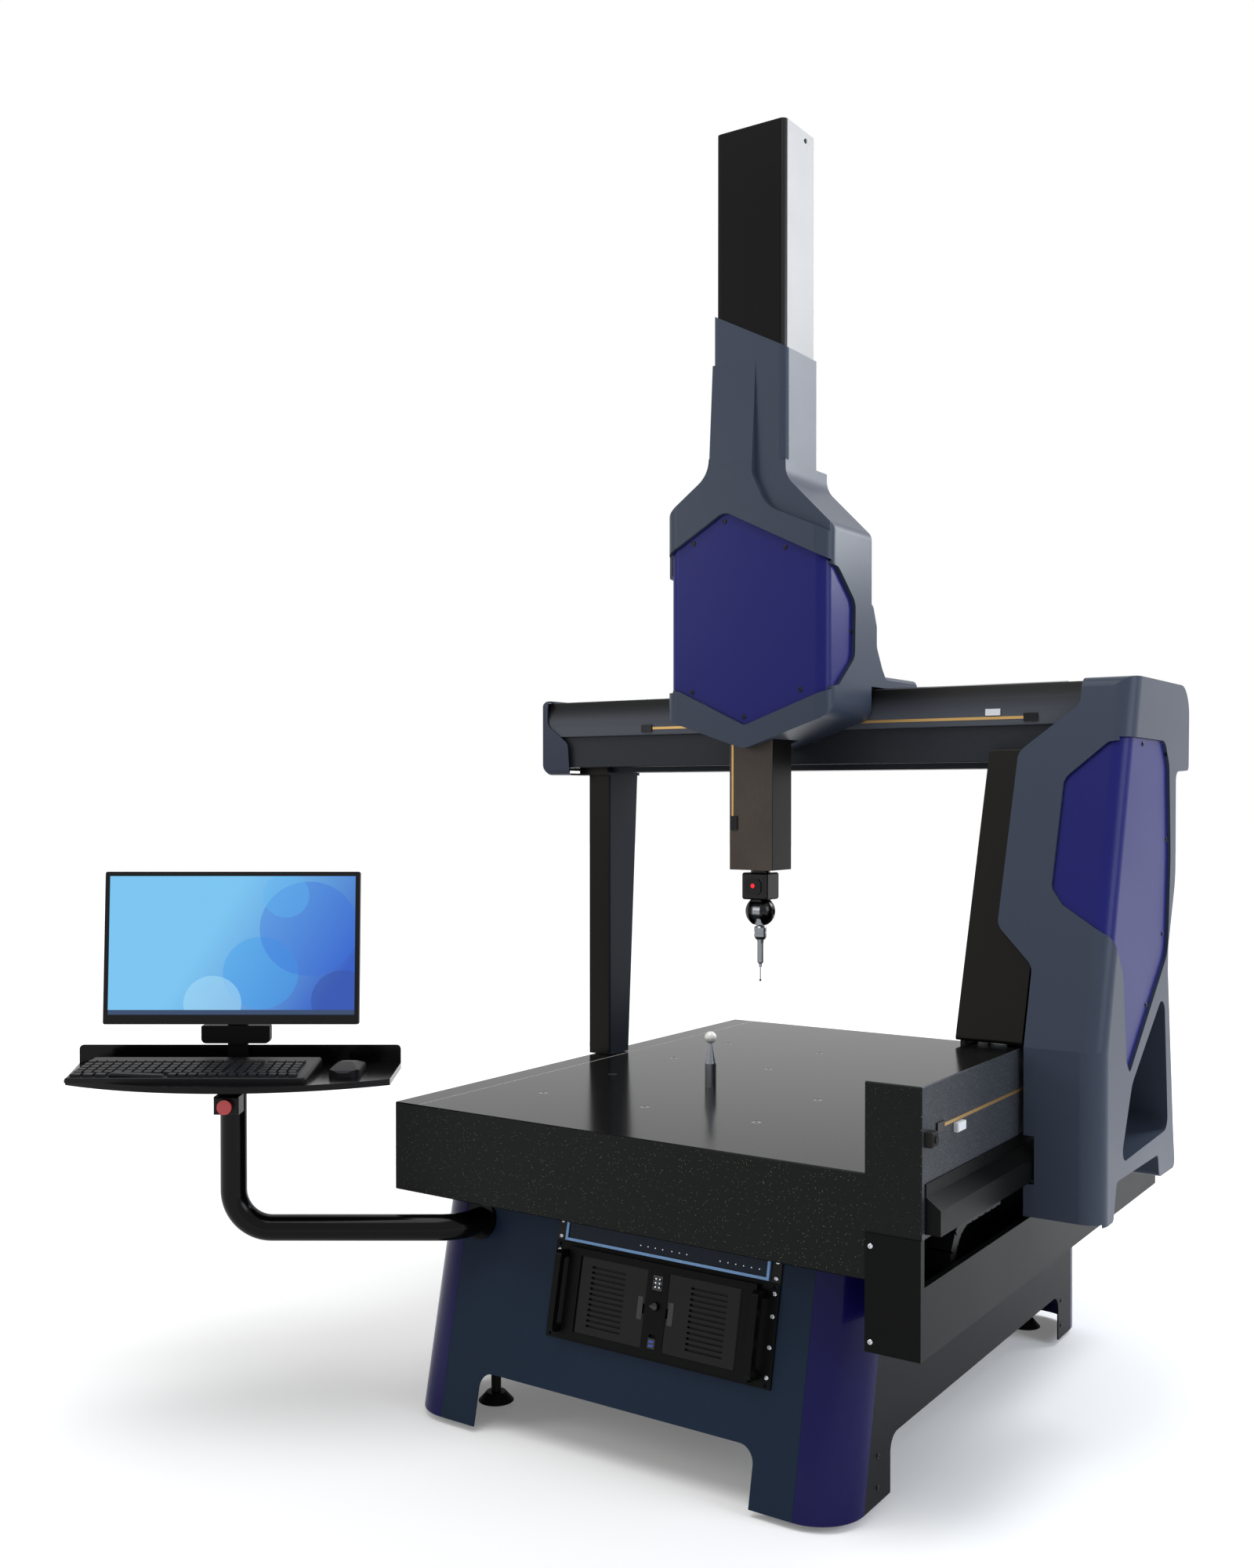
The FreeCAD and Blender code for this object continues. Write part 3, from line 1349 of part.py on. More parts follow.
def ball_stand():
    x, y = sphere_place()
    base = table_height
    neck = base + sphere_height - sphere_radius + 2
    post = cylinder(stem_radius, (x, y, base), (x, y, base + stem_height))
    cone = Part.makeCone(stem_radius, stem_neck, neck - base - stem_height,
                         V(x, y, base + stem_height))
    return fuse([post, cone])


def calibration_ball():
    x, y = sphere_place()
    ball = Part.makeSphere(sphere_radius, V(x, y, table_height + sphere_height))
    return ball.cut(ball_stand())


# ---------------------------------------------------------------- console
def console_placed(shape):
    """Move a console piece from its own frame (x right, y back) onto the arm's post."""
    moved = shape.copy()
    moved.rotate(V(0, 0, 0), V(0, 0, 1), console_turn)
    moved.translate(V(post_x, post_y, 0))
    return moved


def bent_path(points, radius):
    """Wire of straight runs joined by tangent arcs."""
    edges = []
    start = V(*points[0])
    for i in range(1, len(points) - 1):
        corner = V(*points[i])
        back = (V(*points[i - 1]) - corner).normalize()
        on = (V(*points[i + 1]) - corner).normalize()
        half = math.acos(back.dot(on)) / 2
        reach = radius / math.tan(half)
        first = corner + back * reach
        last = corner + on * reach
        middle = corner + (back + on).normalize() * (radius / math.sin(half) - radius)
        edges.append(Part.LineSegment(start, first).toShape())
        edges.append(Part.Arc(first, middle, last).toShape())
        start = last
    edges.append(Part.LineSegment(start, V(*points[-1])).toShape())
    return Part.Wire(edges)


def console_arm():
    """Bent tube from the stand's front panel to the console, with its flange."""
    root_y = front_y(arm_height)
    reach_x, reach_y = polar(1.0, console_turn)
    run = (arm_root_x - post_x) / reach_x
    corner = (arm_root_x, post_y + run * reach_y, arm_height)
    points = [(arm_root_x, root_y + 4, arm_height), corner, (post_x, post_y, arm_height),
              (post_x, post_y, arm_top)]
    path = bent_path(points, arm_bend)
    start = V(*points[0])
    def swept(radius):
        ring = Part.Wire(Part.makeCircle(radius, start, V(0, -1, 0)))
        return path.makePipeShell([ring], True, True)
    bore = cylinder(arm_radius - arm_wall, (post_x, post_y, arm_top - 60), (post_x, post_y,
                                                                            arm_top + 1))
    tube_body = swept(arm_radius).cut(bore)
    flange = cylinder(arm_radius + 11, (arm_root_x, root_y - 40, arm_height),
                      (arm_root_x, root_y + 40, arm_height))
    low = arm_height - 60
    high = arm_height + 60
    skin = along_x([(front_y(low) - 6, low, 0), (front_y(low), low, 0), (front_y(high), high, 0),
                    (front_y(high) - 6, high, 0)], arm_root_x - 60, arm_root_x + 60)
    end = box(arm_root_x - 60, arm_root_x + 60, -10, 200, low, high).cut(
        front_zone(arm_root_x - 70, arm_root_x + 70, 0.0))
    return fuse([tube_body.cut(end), flange.common(skin)])


def tray_outline():
    """Tray's plan: straight back, bowed front."""
    front = -tray_front
    left = V(-tray_half, front + tray_bulge, 0)
    right = V(tray_half, front + tray_bulge, 0)
    back_left = V(-tray_rear_left, tray_rear, 0)
    back_right = V(tray_rear_right, tray_rear, 0)
    edges = [Part.LineSegment(back_left, left).toShape(),
             Part.Arc(left, V(0, front, 0), right).toShape(),
             Part.LineSegment(right, back_right).toShape(),
             Part.LineSegment(back_right, back_left).toShape()]
    return Part.Face(Part.Wire(edges))


def console_tray():
    sheet = tray_outline().extrude(V(0, 0, tray_sheet))
    sheet.translate(V(0, 0, tray_z - tray_sheet))
    left = -tray_rear_left
    right = tray_rear_right
    corners = [(left, tray_z - tray_sheet, 0), (right, tray_z - tray_sheet, 0),
               (right, tray_z + tray_upstand, 9), (left, tray_z + tray_upstand, 9)]
    upstand = along_y(corners, tray_rear - tray_sheet, tray_rear)
    skirt = tray_outline().extrude(V(0, 0, 9))
    skirt.translate(V(0, 0, tray_z - 9 - tray_sheet))
    hollow = tray_outline().makeOffset2D(-4.0).extrude(V(0, 0, 12))
    hollow.translate(V(0, 0, tray_z - 9 - tray_sheet - 1))
    skirt = skirt.cut(hollow)
    return console_placed(fuse([sheet, upstand, skirt]))


def monitor_axis():
    """Tilt axis in the console's frame: y and z."""
    return monitor_front + monitor_depth + 16, monitor_bottom + 130


def tray_bracket():
    """Plate and spigot under the tray, and the monitor's upright bolted through the tray."""
    under = tray_z - tray_sheet
    y0, z0 = monitor_axis()
    spigot = cylinder(arm_radius - arm_wall - running_fit, (0, 0, arm_top - 58), (0, 0, under - 5))
    collar = cylinder(arm_radius + 5, (0, 0, arm_top + 0.5), (0, 0, under - 5))
    plate = box(-80, 60, -60, y0 + 14, under - 6, under)
    foot = box(-60, 60, y0 - 24, y0 + 26, tray_z, tray_z + 6)
    mast = box(-20, 20, y0 + 7, y0 + 15, tray_z + 5, z0 + 16)
    low = monitor_bottom - 41
    high = monitor_bottom - 5
    shelf = along_y([(-69, low, 10), (69, low, 10), (69, high, 3), (-69, high, 3)], y0 - 10, y0 + 8)
    ears = [box(min(s * 12, s * 20), max(s * 12, s * 20), y0 - 9, y0 + 8, z0 - 10, z0 + 10)
            for s in (-1, 1)]
    upright = fuse([foot, mast, shelf] + ears)
    upright = upright.cut(cylinder(4 + running_fit, (-40, y0, z0), (40, y0, z0)))
    upright.translate(V(monitor_shift, 0, 0))
    return console_placed(Part.Compound([fuse([spigot, collar, plate]), upright]))


def monitor_case():
    y0, z0 = monitor_axis()
    half = monitor_width / 2
    front = monitor_front
    low = monitor_bottom
    high = low + monitor_height
    shell = along_y([(-half, low, 4), (half, low, 4), (half, high, 4), (-half, high, 4)],
                    front, front + monitor_depth * 0.5)
    hump = along_y([(-half + 40, low + 30, 20), (half - 40, low + 30, 20),
                    (half - 40, high - 30, 20), (-half + 40, high - 30, 20)],
                   front + monitor_depth * 0.5 - 1, front + monitor_depth)
    recess = box(-half + monitor_bezel, half - monitor_bezel, front - 1, front + 3,
                 low + monitor_chin, high - monitor_bezel)
    lugs = [box(min(s * 20.5, s * 27), max(s * 20.5, s * 27), front + monitor_depth - 1, y0 + 6,
                z0 - 8, z0 + 8) for s in (-1, 1)]
    pin = cylinder(4, (-27, y0, z0), (27, y0, z0))
    return fuse([shell, hump] + lugs + [pin]).cut(recess)


def monitor_screen():
    half = monitor_width / 2 - monitor_bezel
    return box(-half, half, monitor_front + 1, monitor_front + 3, monitor_bottom + monitor_chin,
               monitor_bottom + monitor_height - monitor_bezel)


def tilted(shape):
    """Lean the monitor back about its tilt axis and set it on the console."""
    y0, z0 = monitor_axis()
    moved = shape.copy()
    moved.rotate(V(0, y0, z0), V(1, 0, 0), -monitor_lean)
    moved.translate(V(monitor_shift, 0, 0))
    return console_placed(moved)


def keyboard_case():
    x0 = -tray_half + 12
    y0 = -keyboard_depth / 2 - 8
    profile = [(y0, tray_z, 0), (y0 + keyboard_depth, tray_z, 0),
               (y0 + keyboard_depth, tray_z + keyboard_height + 8, 3),
               (y0, tray_z + keyboard_height - 4, 3)]
    case = along_x(profile, x0, x0 + keyboard_width)
    case = soften(case, 8.0, lambda c: abs(c.z - tray_z - 9) < 8 and (
        abs(c.y - y0) < 0.1 or abs(c.y - y0 - keyboard_depth) < 0.1) and (
        abs(c.x - x0) < 0.1 or abs(c.x - x0 - keyboard_width) < 0.1))
    return console_placed(case)


def mouse():
    x = tray_half - 93
    y = 20.0
    wide = mouse_width / 2
    long = mouse_length / 2
    plan = along_z([(x - wide, y - long, 27), (x + wide, y - long, 27), (x + wide, y + long, 27),
                    (x - wide, y + long, 27)], tray_z, tray_z + mouse_height)
    arch = along_x([(y - long, tray_z, 0), (y + long, tray_z, 0), (y + long, tray_z + 8, 6),
                    (y + 12, tray_z + mouse_height, 60), (y - long, tray_z + 12, 6)],
                   x - wide, x + wide)
    crown = along_y([(x - wide, tray_z, 0), (x + wide, tray_z, 0), (x + wide, tray_z + 12, 9),
                     (x, tray_z + mouse_height + 3, 36), (x - wide, tray_z + 12, 9)],
                    y - long, y + long)
    return console_placed(plan.common(arch).common(crown))


def stop_box():
    y = -arm_radius - 7
    z = 639.0
    case = box(stop_x - stop_box_width / 2, stop_x + stop_box_width / 2, y - stop_box_depth, y,
               z - stop_box_height / 2, z + stop_box_height / 2)
    case = soften(case, 3.0, lambda c: c.y < y - stop_box_depth + 1)
    strap = box(stop_x - 8, stop_x + 8, y - 4, y, z, tray_z - tray_sheet - 6)
    bore = cylinder(5 + running_fit, (stop_x, y - stop_box_depth - 1, z), (stop_x, y - 8, z))
    return console_placed(fuse([case, strap]).cut(bore))


def stop_button():
    y = -arm_radius - 7 - stop_box_depth
    z = 639.0
    gap = stop_travel + 1.0
    cap = Part.makeCylinder(stop_radius, 8, V(stop_x, y - gap - 8, z), V(0, 1, 0))
    stem = cylinder(5, (stop_x, y - gap - 1, z), (stop_x, y + 18, z))
    return console_placed(fuse([cap, stem]))


# ---------------------------------------------------------------- all nodes
def build():
    return {
        "granite_table": granite_table(), "guide_rail": guide_rail(),
        "table_inserts": table_inserts(), "stand_frame": stand_frame(),
        "front_panel": clad_panel("front"), "rear_panel": clad_panel("rear"),
        "side_panels": Part.Compound([clad_panel("left"), clad_panel("right")]),
        "corner_columns": corner_columns(), "support_pads": support_pads(),
        "levelling_feet": levelling_feet(), "trough_cover": trough_cover(),
        "drive_channel": drive_channel(), "y_drive_bar": y_drive_bar(),
        "cable_chain": cable_chain(), "y_scale": y_scale(), "end_stops": end_stops(),
        "probe_controller": probe_controller(), "computer_case": computer_case(),
        "left_door": computer_door(0), "right_door": computer_door(1),
        "ball_stand": ball_stand(), "calibration_ball": calibration_ball(),
        "console_arm": console_arm(), "console_tray": console_tray(),
        "tray_bracket": tray_bracket(), "keyboard_case": keyboard_case(), "mouse": mouse(),
        "stop_box": stop_box(), "stop_button": stop_button(),
        "monitor_case": tilted(monitor_case()), "monitor_screen": tilted(monitor_screen()),
        "drive_leg": drive_leg(), "tower_cover": tower_cover(), "tower_inset": tower_inset(),
        "cross_beam": cross_beam(), "left_leg": left_leg(), "left_end_cap": left_end_cap(),
        "bridge_bearings": bridge_bearings(), "x_scale": x_scale(),
        "x_drive_bar": x_drive_bar(), "y_drive_motor": y_drive_motor(),
        "y_drive_roller": y_drive_roller(),
        "carriage_frame": carriage_frame(), "carriage_cover": carriage_cover(),
        "carriage_inset": carriage_inset(), "rear_cover": rear_cover(),
        "column_cover": column_cover(), "carriage_bearings": carriage_bearings(),
        "carriage_motors": carriage_motors(), "balance_cylinder": balance_cylinder(),
        "x_drive_roller": x_drive_roller(), "z_drive_roller": z_drive_roller(),
        "ram": ram(), "z_scale": z_scale(), "balance_rod": balance_rod(),
        "head_body": head_body(), "head_knuckle": head_knuckle(), "head_ball": head_ball(),
        "probe_body": probe_body(), "stylus": stylus(),
    }


os.makedirs("parts", exist_ok=True)
for name, shape in build().items():
    shape = shape.copy()
    shape.translate(V(-footprint_x, -footprint_y, 0))
    shape.exportStep("parts/" + name + ".step")
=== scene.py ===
import json
import math

import bmesh
import bpy
from bpy.props import FloatProperty, FloatVectorProperty, IntProperty, PointerProperty
from mathutils import Euler, Matrix, Vector


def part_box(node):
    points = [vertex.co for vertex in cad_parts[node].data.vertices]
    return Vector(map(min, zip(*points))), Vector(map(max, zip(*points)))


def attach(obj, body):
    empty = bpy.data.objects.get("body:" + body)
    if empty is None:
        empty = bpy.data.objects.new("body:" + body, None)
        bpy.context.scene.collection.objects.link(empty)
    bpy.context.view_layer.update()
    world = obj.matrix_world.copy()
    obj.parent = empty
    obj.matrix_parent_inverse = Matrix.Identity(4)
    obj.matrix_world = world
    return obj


bl_info = {
    "name": "Coordinate measuring machine",
    "version": (1, 0, 0),
    "blender": (4, 5, 0),
    "location": "View3D > Sidebar > Measuring machine",
    "description": "Finishes and small parts of a bridge coordinate measuring machine",
    "category": "Object",
}

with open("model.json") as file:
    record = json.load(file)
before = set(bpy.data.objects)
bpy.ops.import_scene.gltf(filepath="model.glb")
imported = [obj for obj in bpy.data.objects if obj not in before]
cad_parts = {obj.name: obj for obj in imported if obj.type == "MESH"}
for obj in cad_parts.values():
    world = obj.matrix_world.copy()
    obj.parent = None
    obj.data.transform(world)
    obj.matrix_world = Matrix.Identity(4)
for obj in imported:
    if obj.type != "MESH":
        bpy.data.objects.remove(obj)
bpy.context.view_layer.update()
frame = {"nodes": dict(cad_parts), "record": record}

# The drawing's corner is the table's front-left edge; these two move it to the row frame.
DRAWN_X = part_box("granite_table")[0].x
DRAWN_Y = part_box("granite_table")[0].y

# Millimetres, as in the drawing.
CONSOLE_TURN = math.radians(34.15)
CONSOLE_AXIS = (-215.0, -226.0)
STAND_LEAN = 0.22           # forward lean of the stand's front, per unit of height
LEAN_ANGLE = math.atan(STAND_LEAN)
STAND_FRONT = 102.0         # the leaning front, just under the table
TABLE_UNDERSIDE = 446.0
COMPUTER_MIDDLE = 238.1     # middle of the computer, up the leaning front
RACK_EDGE_BELOW = 26.0      # the rack's lower edge, below the height of that middle
RACK_LEFT = 342.0
RACK_WIDTH = 482.6
RACK_EARS = (RACK_LEFT + 9.0, RACK_LEFT + RACK_WIDTH - 9.0)


def drawn(x, y, z):
    """A point given in the drawing's millimetres, in the row frame's metres."""
    return Vector((DRAWN_X + x / 1000, DRAWN_Y + y / 1000, z / 1000))


def on_console(x, y, z):
    """A point of the console's own frame, in millimetres, in the row frame's metres."""
    c, s = math.cos(CONSOLE_TURN), math.sin(CONSOLE_TURN)
    return drawn(CONSOLE_AXIS[0] + x * c - y * s, CONSOLE_AXIS[1] + x * s + y * c, z)


def on_rack(x, back, up):
    """A point of the rack's leaning frame (x, back, up in mm), in the row frame's metres."""
    c, s = math.cos(LEAN_ANGLE), math.sin(LEAN_ANGLE)
    foot_z = COMPUTER_MIDDLE * c - RACK_EDGE_BELOW
    foot_y = STAND_FRONT - STAND_LEAN * (TABLE_UNDERSIDE - foot_z)
    return drawn(x, foot_y + back * c + up * s, foot_z - back * s + up * c)


def on_rack_back(point):
    """How far a point lies behind the rack's mounting face, in metres."""
    away = point - on_rack(0.0, 0.0, 0.0)
    return away.y * math.cos(LEAN_ANGLE) - away.z * math.sin(LEAN_ANGLE)


def hex_colour(text):
    """Linear RGBA from an sRGB hex string."""
    out = []
    for k in (1, 3, 5):
        v = int(text[k:k + 2], 16) / 255
        out.append(v / 12.92 if v <= 0.04045 else ((v + 0.055) / 1.055) ** 2.4)
    return (*out, 1.0)


# ---------------------------------------------------------------- materials
def node(tree, kind, *inputs, **settings):
    """Add a node, set its properties, and link or fill its inputs in order."""
    n = tree.nodes.new(kind)
    for key, value in settings.items():
        setattr(n, key, value)
    for name, value in inputs:
        socket = n.inputs[name]
        if isinstance(value, bpy.types.NodeSocket):
            tree.links.new(value, socket)
        else:
            socket.default_value = value
    return n


def mix_colour(tree, factor, a, b):
    """The output of a mix of two colours; each input is a value or a socket."""
    n = node(tree, "ShaderNodeMix", data_type="RGBA")
    for index, value in ((0, factor), (6, a), (7, b)):
        if isinstance(value, bpy.types.NodeSocket):
            tree.links.new(value, n.inputs[index])
        else:
            n.inputs[index].default_value = value
    return n.outputs[2]


def start(name):
    """A new material with its node tree, its shader and the object's own coordinates."""
    material = bpy.data.materials.new(name)
    material.use_nodes = True
    tree = material.node_tree
    shader = tree.nodes["Principled BSDF"]
    place = node(tree, "ShaderNodeTexCoord").outputs["Object"]
    return material, tree, shader, place


def finish(name, base, shade, rough=0.4, metal=0.0, grain_mm=1.0, bump_mm=0.01, spread=0.08,
           coat=0.0, stretch=(1, 1, 1), patch_mm=240.0, contrast=0.35, gleam=0.5):
    """A painted, moulded or machined finish: fine grain over slow patches of wear and sheen."""
    material, tree, shader, place = start(name)
    scaled = node(tree, "ShaderNodeMapping", ("Vector", place), ("Scale", stretch)).outputs[0]
    grain = node(tree, "ShaderNodeTexNoise", ("Vector", scaled), ("Scale", 1000.0 / grain_mm),
                 ("Detail", 3.0))
    patch = node(tree, "ShaderNodeTexNoise", ("Vector", place), ("Scale", 1000.0 / patch_mm),
                 ("Detail", 2.0))
    both = node(tree, "ShaderNodeMath", (0, grain.outputs[0]), (1, patch.outputs[0]),
                operation="MULTIPLY")
    factor = node(tree, "ShaderNodeMapRange", ("Value", both.outputs[0]), ("From Min", 0.12),
                  ("From Max", 0.45), ("To Max", contrast)).outputs[0]
    tree.links.new(mix_colour(tree, factor, hex_colour(base), hex_colour(shade)),
                   shader.inputs["Base Color"])
    rough_out = node(tree, "ShaderNodeMapRange", ("Value", both.outputs[0]),
                     ("To Min", max(0.02, rough - spread)), ("To Max", rough + spread)).outputs[0]
    tree.links.new(rough_out, shader.inputs["Roughness"])
    bump = node(tree, "ShaderNodeBump", ("Height", grain.outputs[0]),
                ("Distance", bump_mm / 1000), ("Strength", 0.6))
    tree.links.new(bump.outputs[0], shader.inputs["Normal"])
    shader.inputs["Metallic"].default_value = metal
    shader.inputs["Specular IOR Level"].default_value = gleam
    shader.inputs["Coat Weight"].default_value = coat
    shader.inputs["Coat Roughness"].default_value = 0.08
    return material


def granite(name, base, light, fleck, rough, gleam, fleck_mm=2.2, share=0.12, grain_mm=1.3):
    """Polished black stone: fine cloudy grain, with a few pale and golden flecks."""
    material, tree, shader, place = start(name)
    cloud = node(tree, "ShaderNodeTexNoise", ("Vector", place), ("Scale", 1000.0 / grain_mm),
                 ("Detail", 5.0))
    tone = node(tree, "ShaderNodeMapRange", ("Value", cloud.outputs[0]), ("From Min", 0.45),
                ("From Max", 0.75)).outputs[0]
    body = mix_colour(tree, tone, hex_colour(base), hex_colour(light))
    cell = node(tree, "ShaderNodeTexVoronoi", ("Vector", place), ("Scale", 1000.0 / fleck_mm))
    parts = node(tree, "ShaderNodeSeparateColor", ("Color", cell.outputs["Color"]))
    rare = node(tree, "ShaderNodeMath", (0, parts.outputs[0]), (1, 1.0 - share),
                operation="GREATER_THAN")
    size = node(tree, "ShaderNodeMath", (0, parts.outputs[1]), (1, 0.3), operation="MULTIPLY")
    near = node(tree, "ShaderNodeMath", (0, cell.outputs["Distance"]), (1, size.outputs[0]),
                operation="LESS_THAN")
    flecked = node(tree, "ShaderNodeMath", (0, rare.outputs[0]), (1, near.outputs[0]),
                   operation="MULTIPLY")
    shade = mix_colour(tree, flecked.outputs[0], body, hex_colour(fleck))
    tree.links.new(shade, shader.inputs["Base Color"])
    shader.inputs["Roughness"].default_value = rough
    shader.inputs["Specular IOR Level"].default_value = gleam
    return material


def screen_design(name):
    """Lit display with a made-up desktop: blue bands swept by soft discs, and a task bar."""
    material, tree, shader, place = start(name)
    turned = node(tree, "ShaderNodeVectorRotate", ("Vector", place),
                  ("Angle", -CONSOLE_TURN), ("Axis", (0, 0, 1))).outputs[0]
    parts = node(tree, "ShaderNodeSeparateXYZ", ("Vector", turned))
    low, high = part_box("monitor_screen")
    mid = (low + high) / 2
    across = mid.x * math.cos(CONSOLE_TURN) + mid.y * math.sin(CONSOLE_TURN)
    half_width = 0.245
    u = node(tree, "ShaderNodeMapRange", ("Value", parts.outputs[0]),
             ("From Min", across - half_width), ("From Max", across + half_width)).outputs[0]
    v = node(tree, "ShaderNodeMapRange", ("Value", parts.outputs[2]), ("From Min", low.z),
             ("From Max", high.z)).outputs[0]
    slant = node(tree, "ShaderNodeMath", (0, v), (1, -0.35), (2, u), operation="MULTIPLY_ADD")
    ramp = node(tree, "ShaderNodeMapRange", ("Value", slant.outputs[0]), ("From Min", 0.2),
                ("From Max", 0.85)).outputs[0]
    colour = mix_colour(tree, ramp, hex_colour("#74c3f0"), hex_colour("#0a4fc0"))
    width_to_height = 1.7
    wide = node(tree, "ShaderNodeMath", (0, u), (1, width_to_height),
                operation="MULTIPLY").outputs[0]
    discs = [(1.05, 0.30, 0.26, "#2f9be8", 0.55), (1.38, 0.62, 0.34, "#1064d6", 0.45),
             (0.72, 0.08, 0.20, "#a9def7", 0.45), (1.62, 0.10, 0.22, "#0b3f9e", 0.6),
             (1.22, 0.86, 0.16, "#4fb0ee", 0.4)]
    here = node(tree, "ShaderNodeCombineXYZ", ("X", wide), ("Y", v)).outputs[0]
    for x, y, radius, shade, share in discs:
        away = node(tree, "ShaderNodeVectorMath", (0, here), (1, (x, y, 0.0)),
                    operation="DISTANCE").outputs["Value"]
        inside = node(tree, "ShaderNodeMath", (0, away), (1, radius), operation="LESS_THAN")
        part = node(tree, "ShaderNodeMath", (0, inside.outputs[0]), (1, share),
                    operation="MULTIPLY").outputs[0]
        colour = mix_colour(tree, part, colour, hex_colour(shade))
    bar_height = 0.035
    bar = node(tree, "ShaderNodeMath", (0, v), (1, bar_height),
               operation="LESS_THAN").outputs[0]
    colour = mix_colour(tree, bar, colour, hex_colour("#17365e"))
    tree.links.new(colour, shader.inputs["Emission Color"])
    shader.inputs["Emission Strength"].default_value = 0.95
    shader.inputs["Base Color"].default_value = hex_colour("#0a1420")
    shader.inputs["Roughness"].default_value = 0.3
    return material


def painted_beam_sheen(name):
    """Black anodised beam with a painted sheen: its coved upper face is painted lighter towards
    its ledge.
    """
    cove_top, cove_foot, ledge = 1.440, 1.382, 1.3671
    material, tree, shader, place = start(name)
    height = node(tree, "ShaderNodeSeparateXYZ", ("Vector", place)).outputs[2]
    cove = node(tree, "ShaderNodeMapRange", ("Value", height), ("From Min", cove_top),
                ("From Max", cove_foot), interpolation_type="SMOOTHSTEP").outputs[0]
    above = node(tree, "ShaderNodeMath", (0, height), (1, ledge),
                 operation="GREATER_THAN").outputs[0]
    brushed = node(tree, "ShaderNodeMapping", ("Vector", place), ("Scale", (0.03, 1, 1)))
    grain = node(tree, "ShaderNodeTexNoise", ("Vector", brushed.outputs[0]),
                 ("Scale", 1400.0), ("Detail", 2.0)).outputs[0]
    # Painted sheen: the cove's colour runs from near black at its top to pale slate at its foot.
    upper = mix_colour(tree, cove, hex_colour("#0c0c0d"), hex_colour("#4b4f57"))
    lower = mix_colour(tree, grain, hex_colour("#1f2227"), hex_colour("#2c3036"))
    tree.links.new(mix_colour(tree, above, lower, upper), shader.inputs["Base Color"])
    rough = node(tree, "ShaderNodeMapRange", ("Value", grain), ("To Min", 0.34),
                 ("To Max", 0.5)).outputs[0]
    tree.links.new(rough, shader.inputs["Roughness"])
    shader.inputs["Specular IOR Level"].default_value = 0.12
    return material


def scale_tape(name):
    """Gilt steel tape with fine graduations along its length."""
    material, tree, shader, place = start(name)
    parts = node(tree, "ShaderNodeSeparateXYZ", ("Vector", place))
    along = node(tree, "ShaderNodeMath", (0, parts.outputs[0]), (1, parts.outputs[1]),
                 operation="ADD")
    division = 0.002
    fine = node(tree, "ShaderNodeMath", (0, along.outputs[0]), (1, division),
                operation="PINGPONG")
    tone = node(tree, "ShaderNodeMapRange", ("Value", fine.outputs[0]), ("From Max", division),
                ("To Min", 0.0), ("To Max", 0.35)).outputs[0]
    tree.links.new(mix_colour(tree, tone, hex_colour("#b5925a"), hex_colour("#7d6234")),
                   shader.inputs["Base Color"])
    shader.inputs["Metallic"].default_value = 0.75
    shader.inputs["Roughness"].default_value = 0.38
    return material


def glow(name, colour, rim, strength):
    """A lit lamp, uneven between its own colour and its rim's."""
    material, tree, shader, place = start(name)
    wash = node(tree, "ShaderNodeTexNoise", ("Vector", place), ("Scale", 900.0)).outputs[0]
    tree.links.new(mix_colour(tree, wash, hex_colour(colour), hex_colour(rim)),
                   shader.inputs["Emission Color"])
    shader.inputs["Base Color"].default_value = hex_colour(colour)
    shader.inputs["Emission Strength"].default_value = strength
    return material


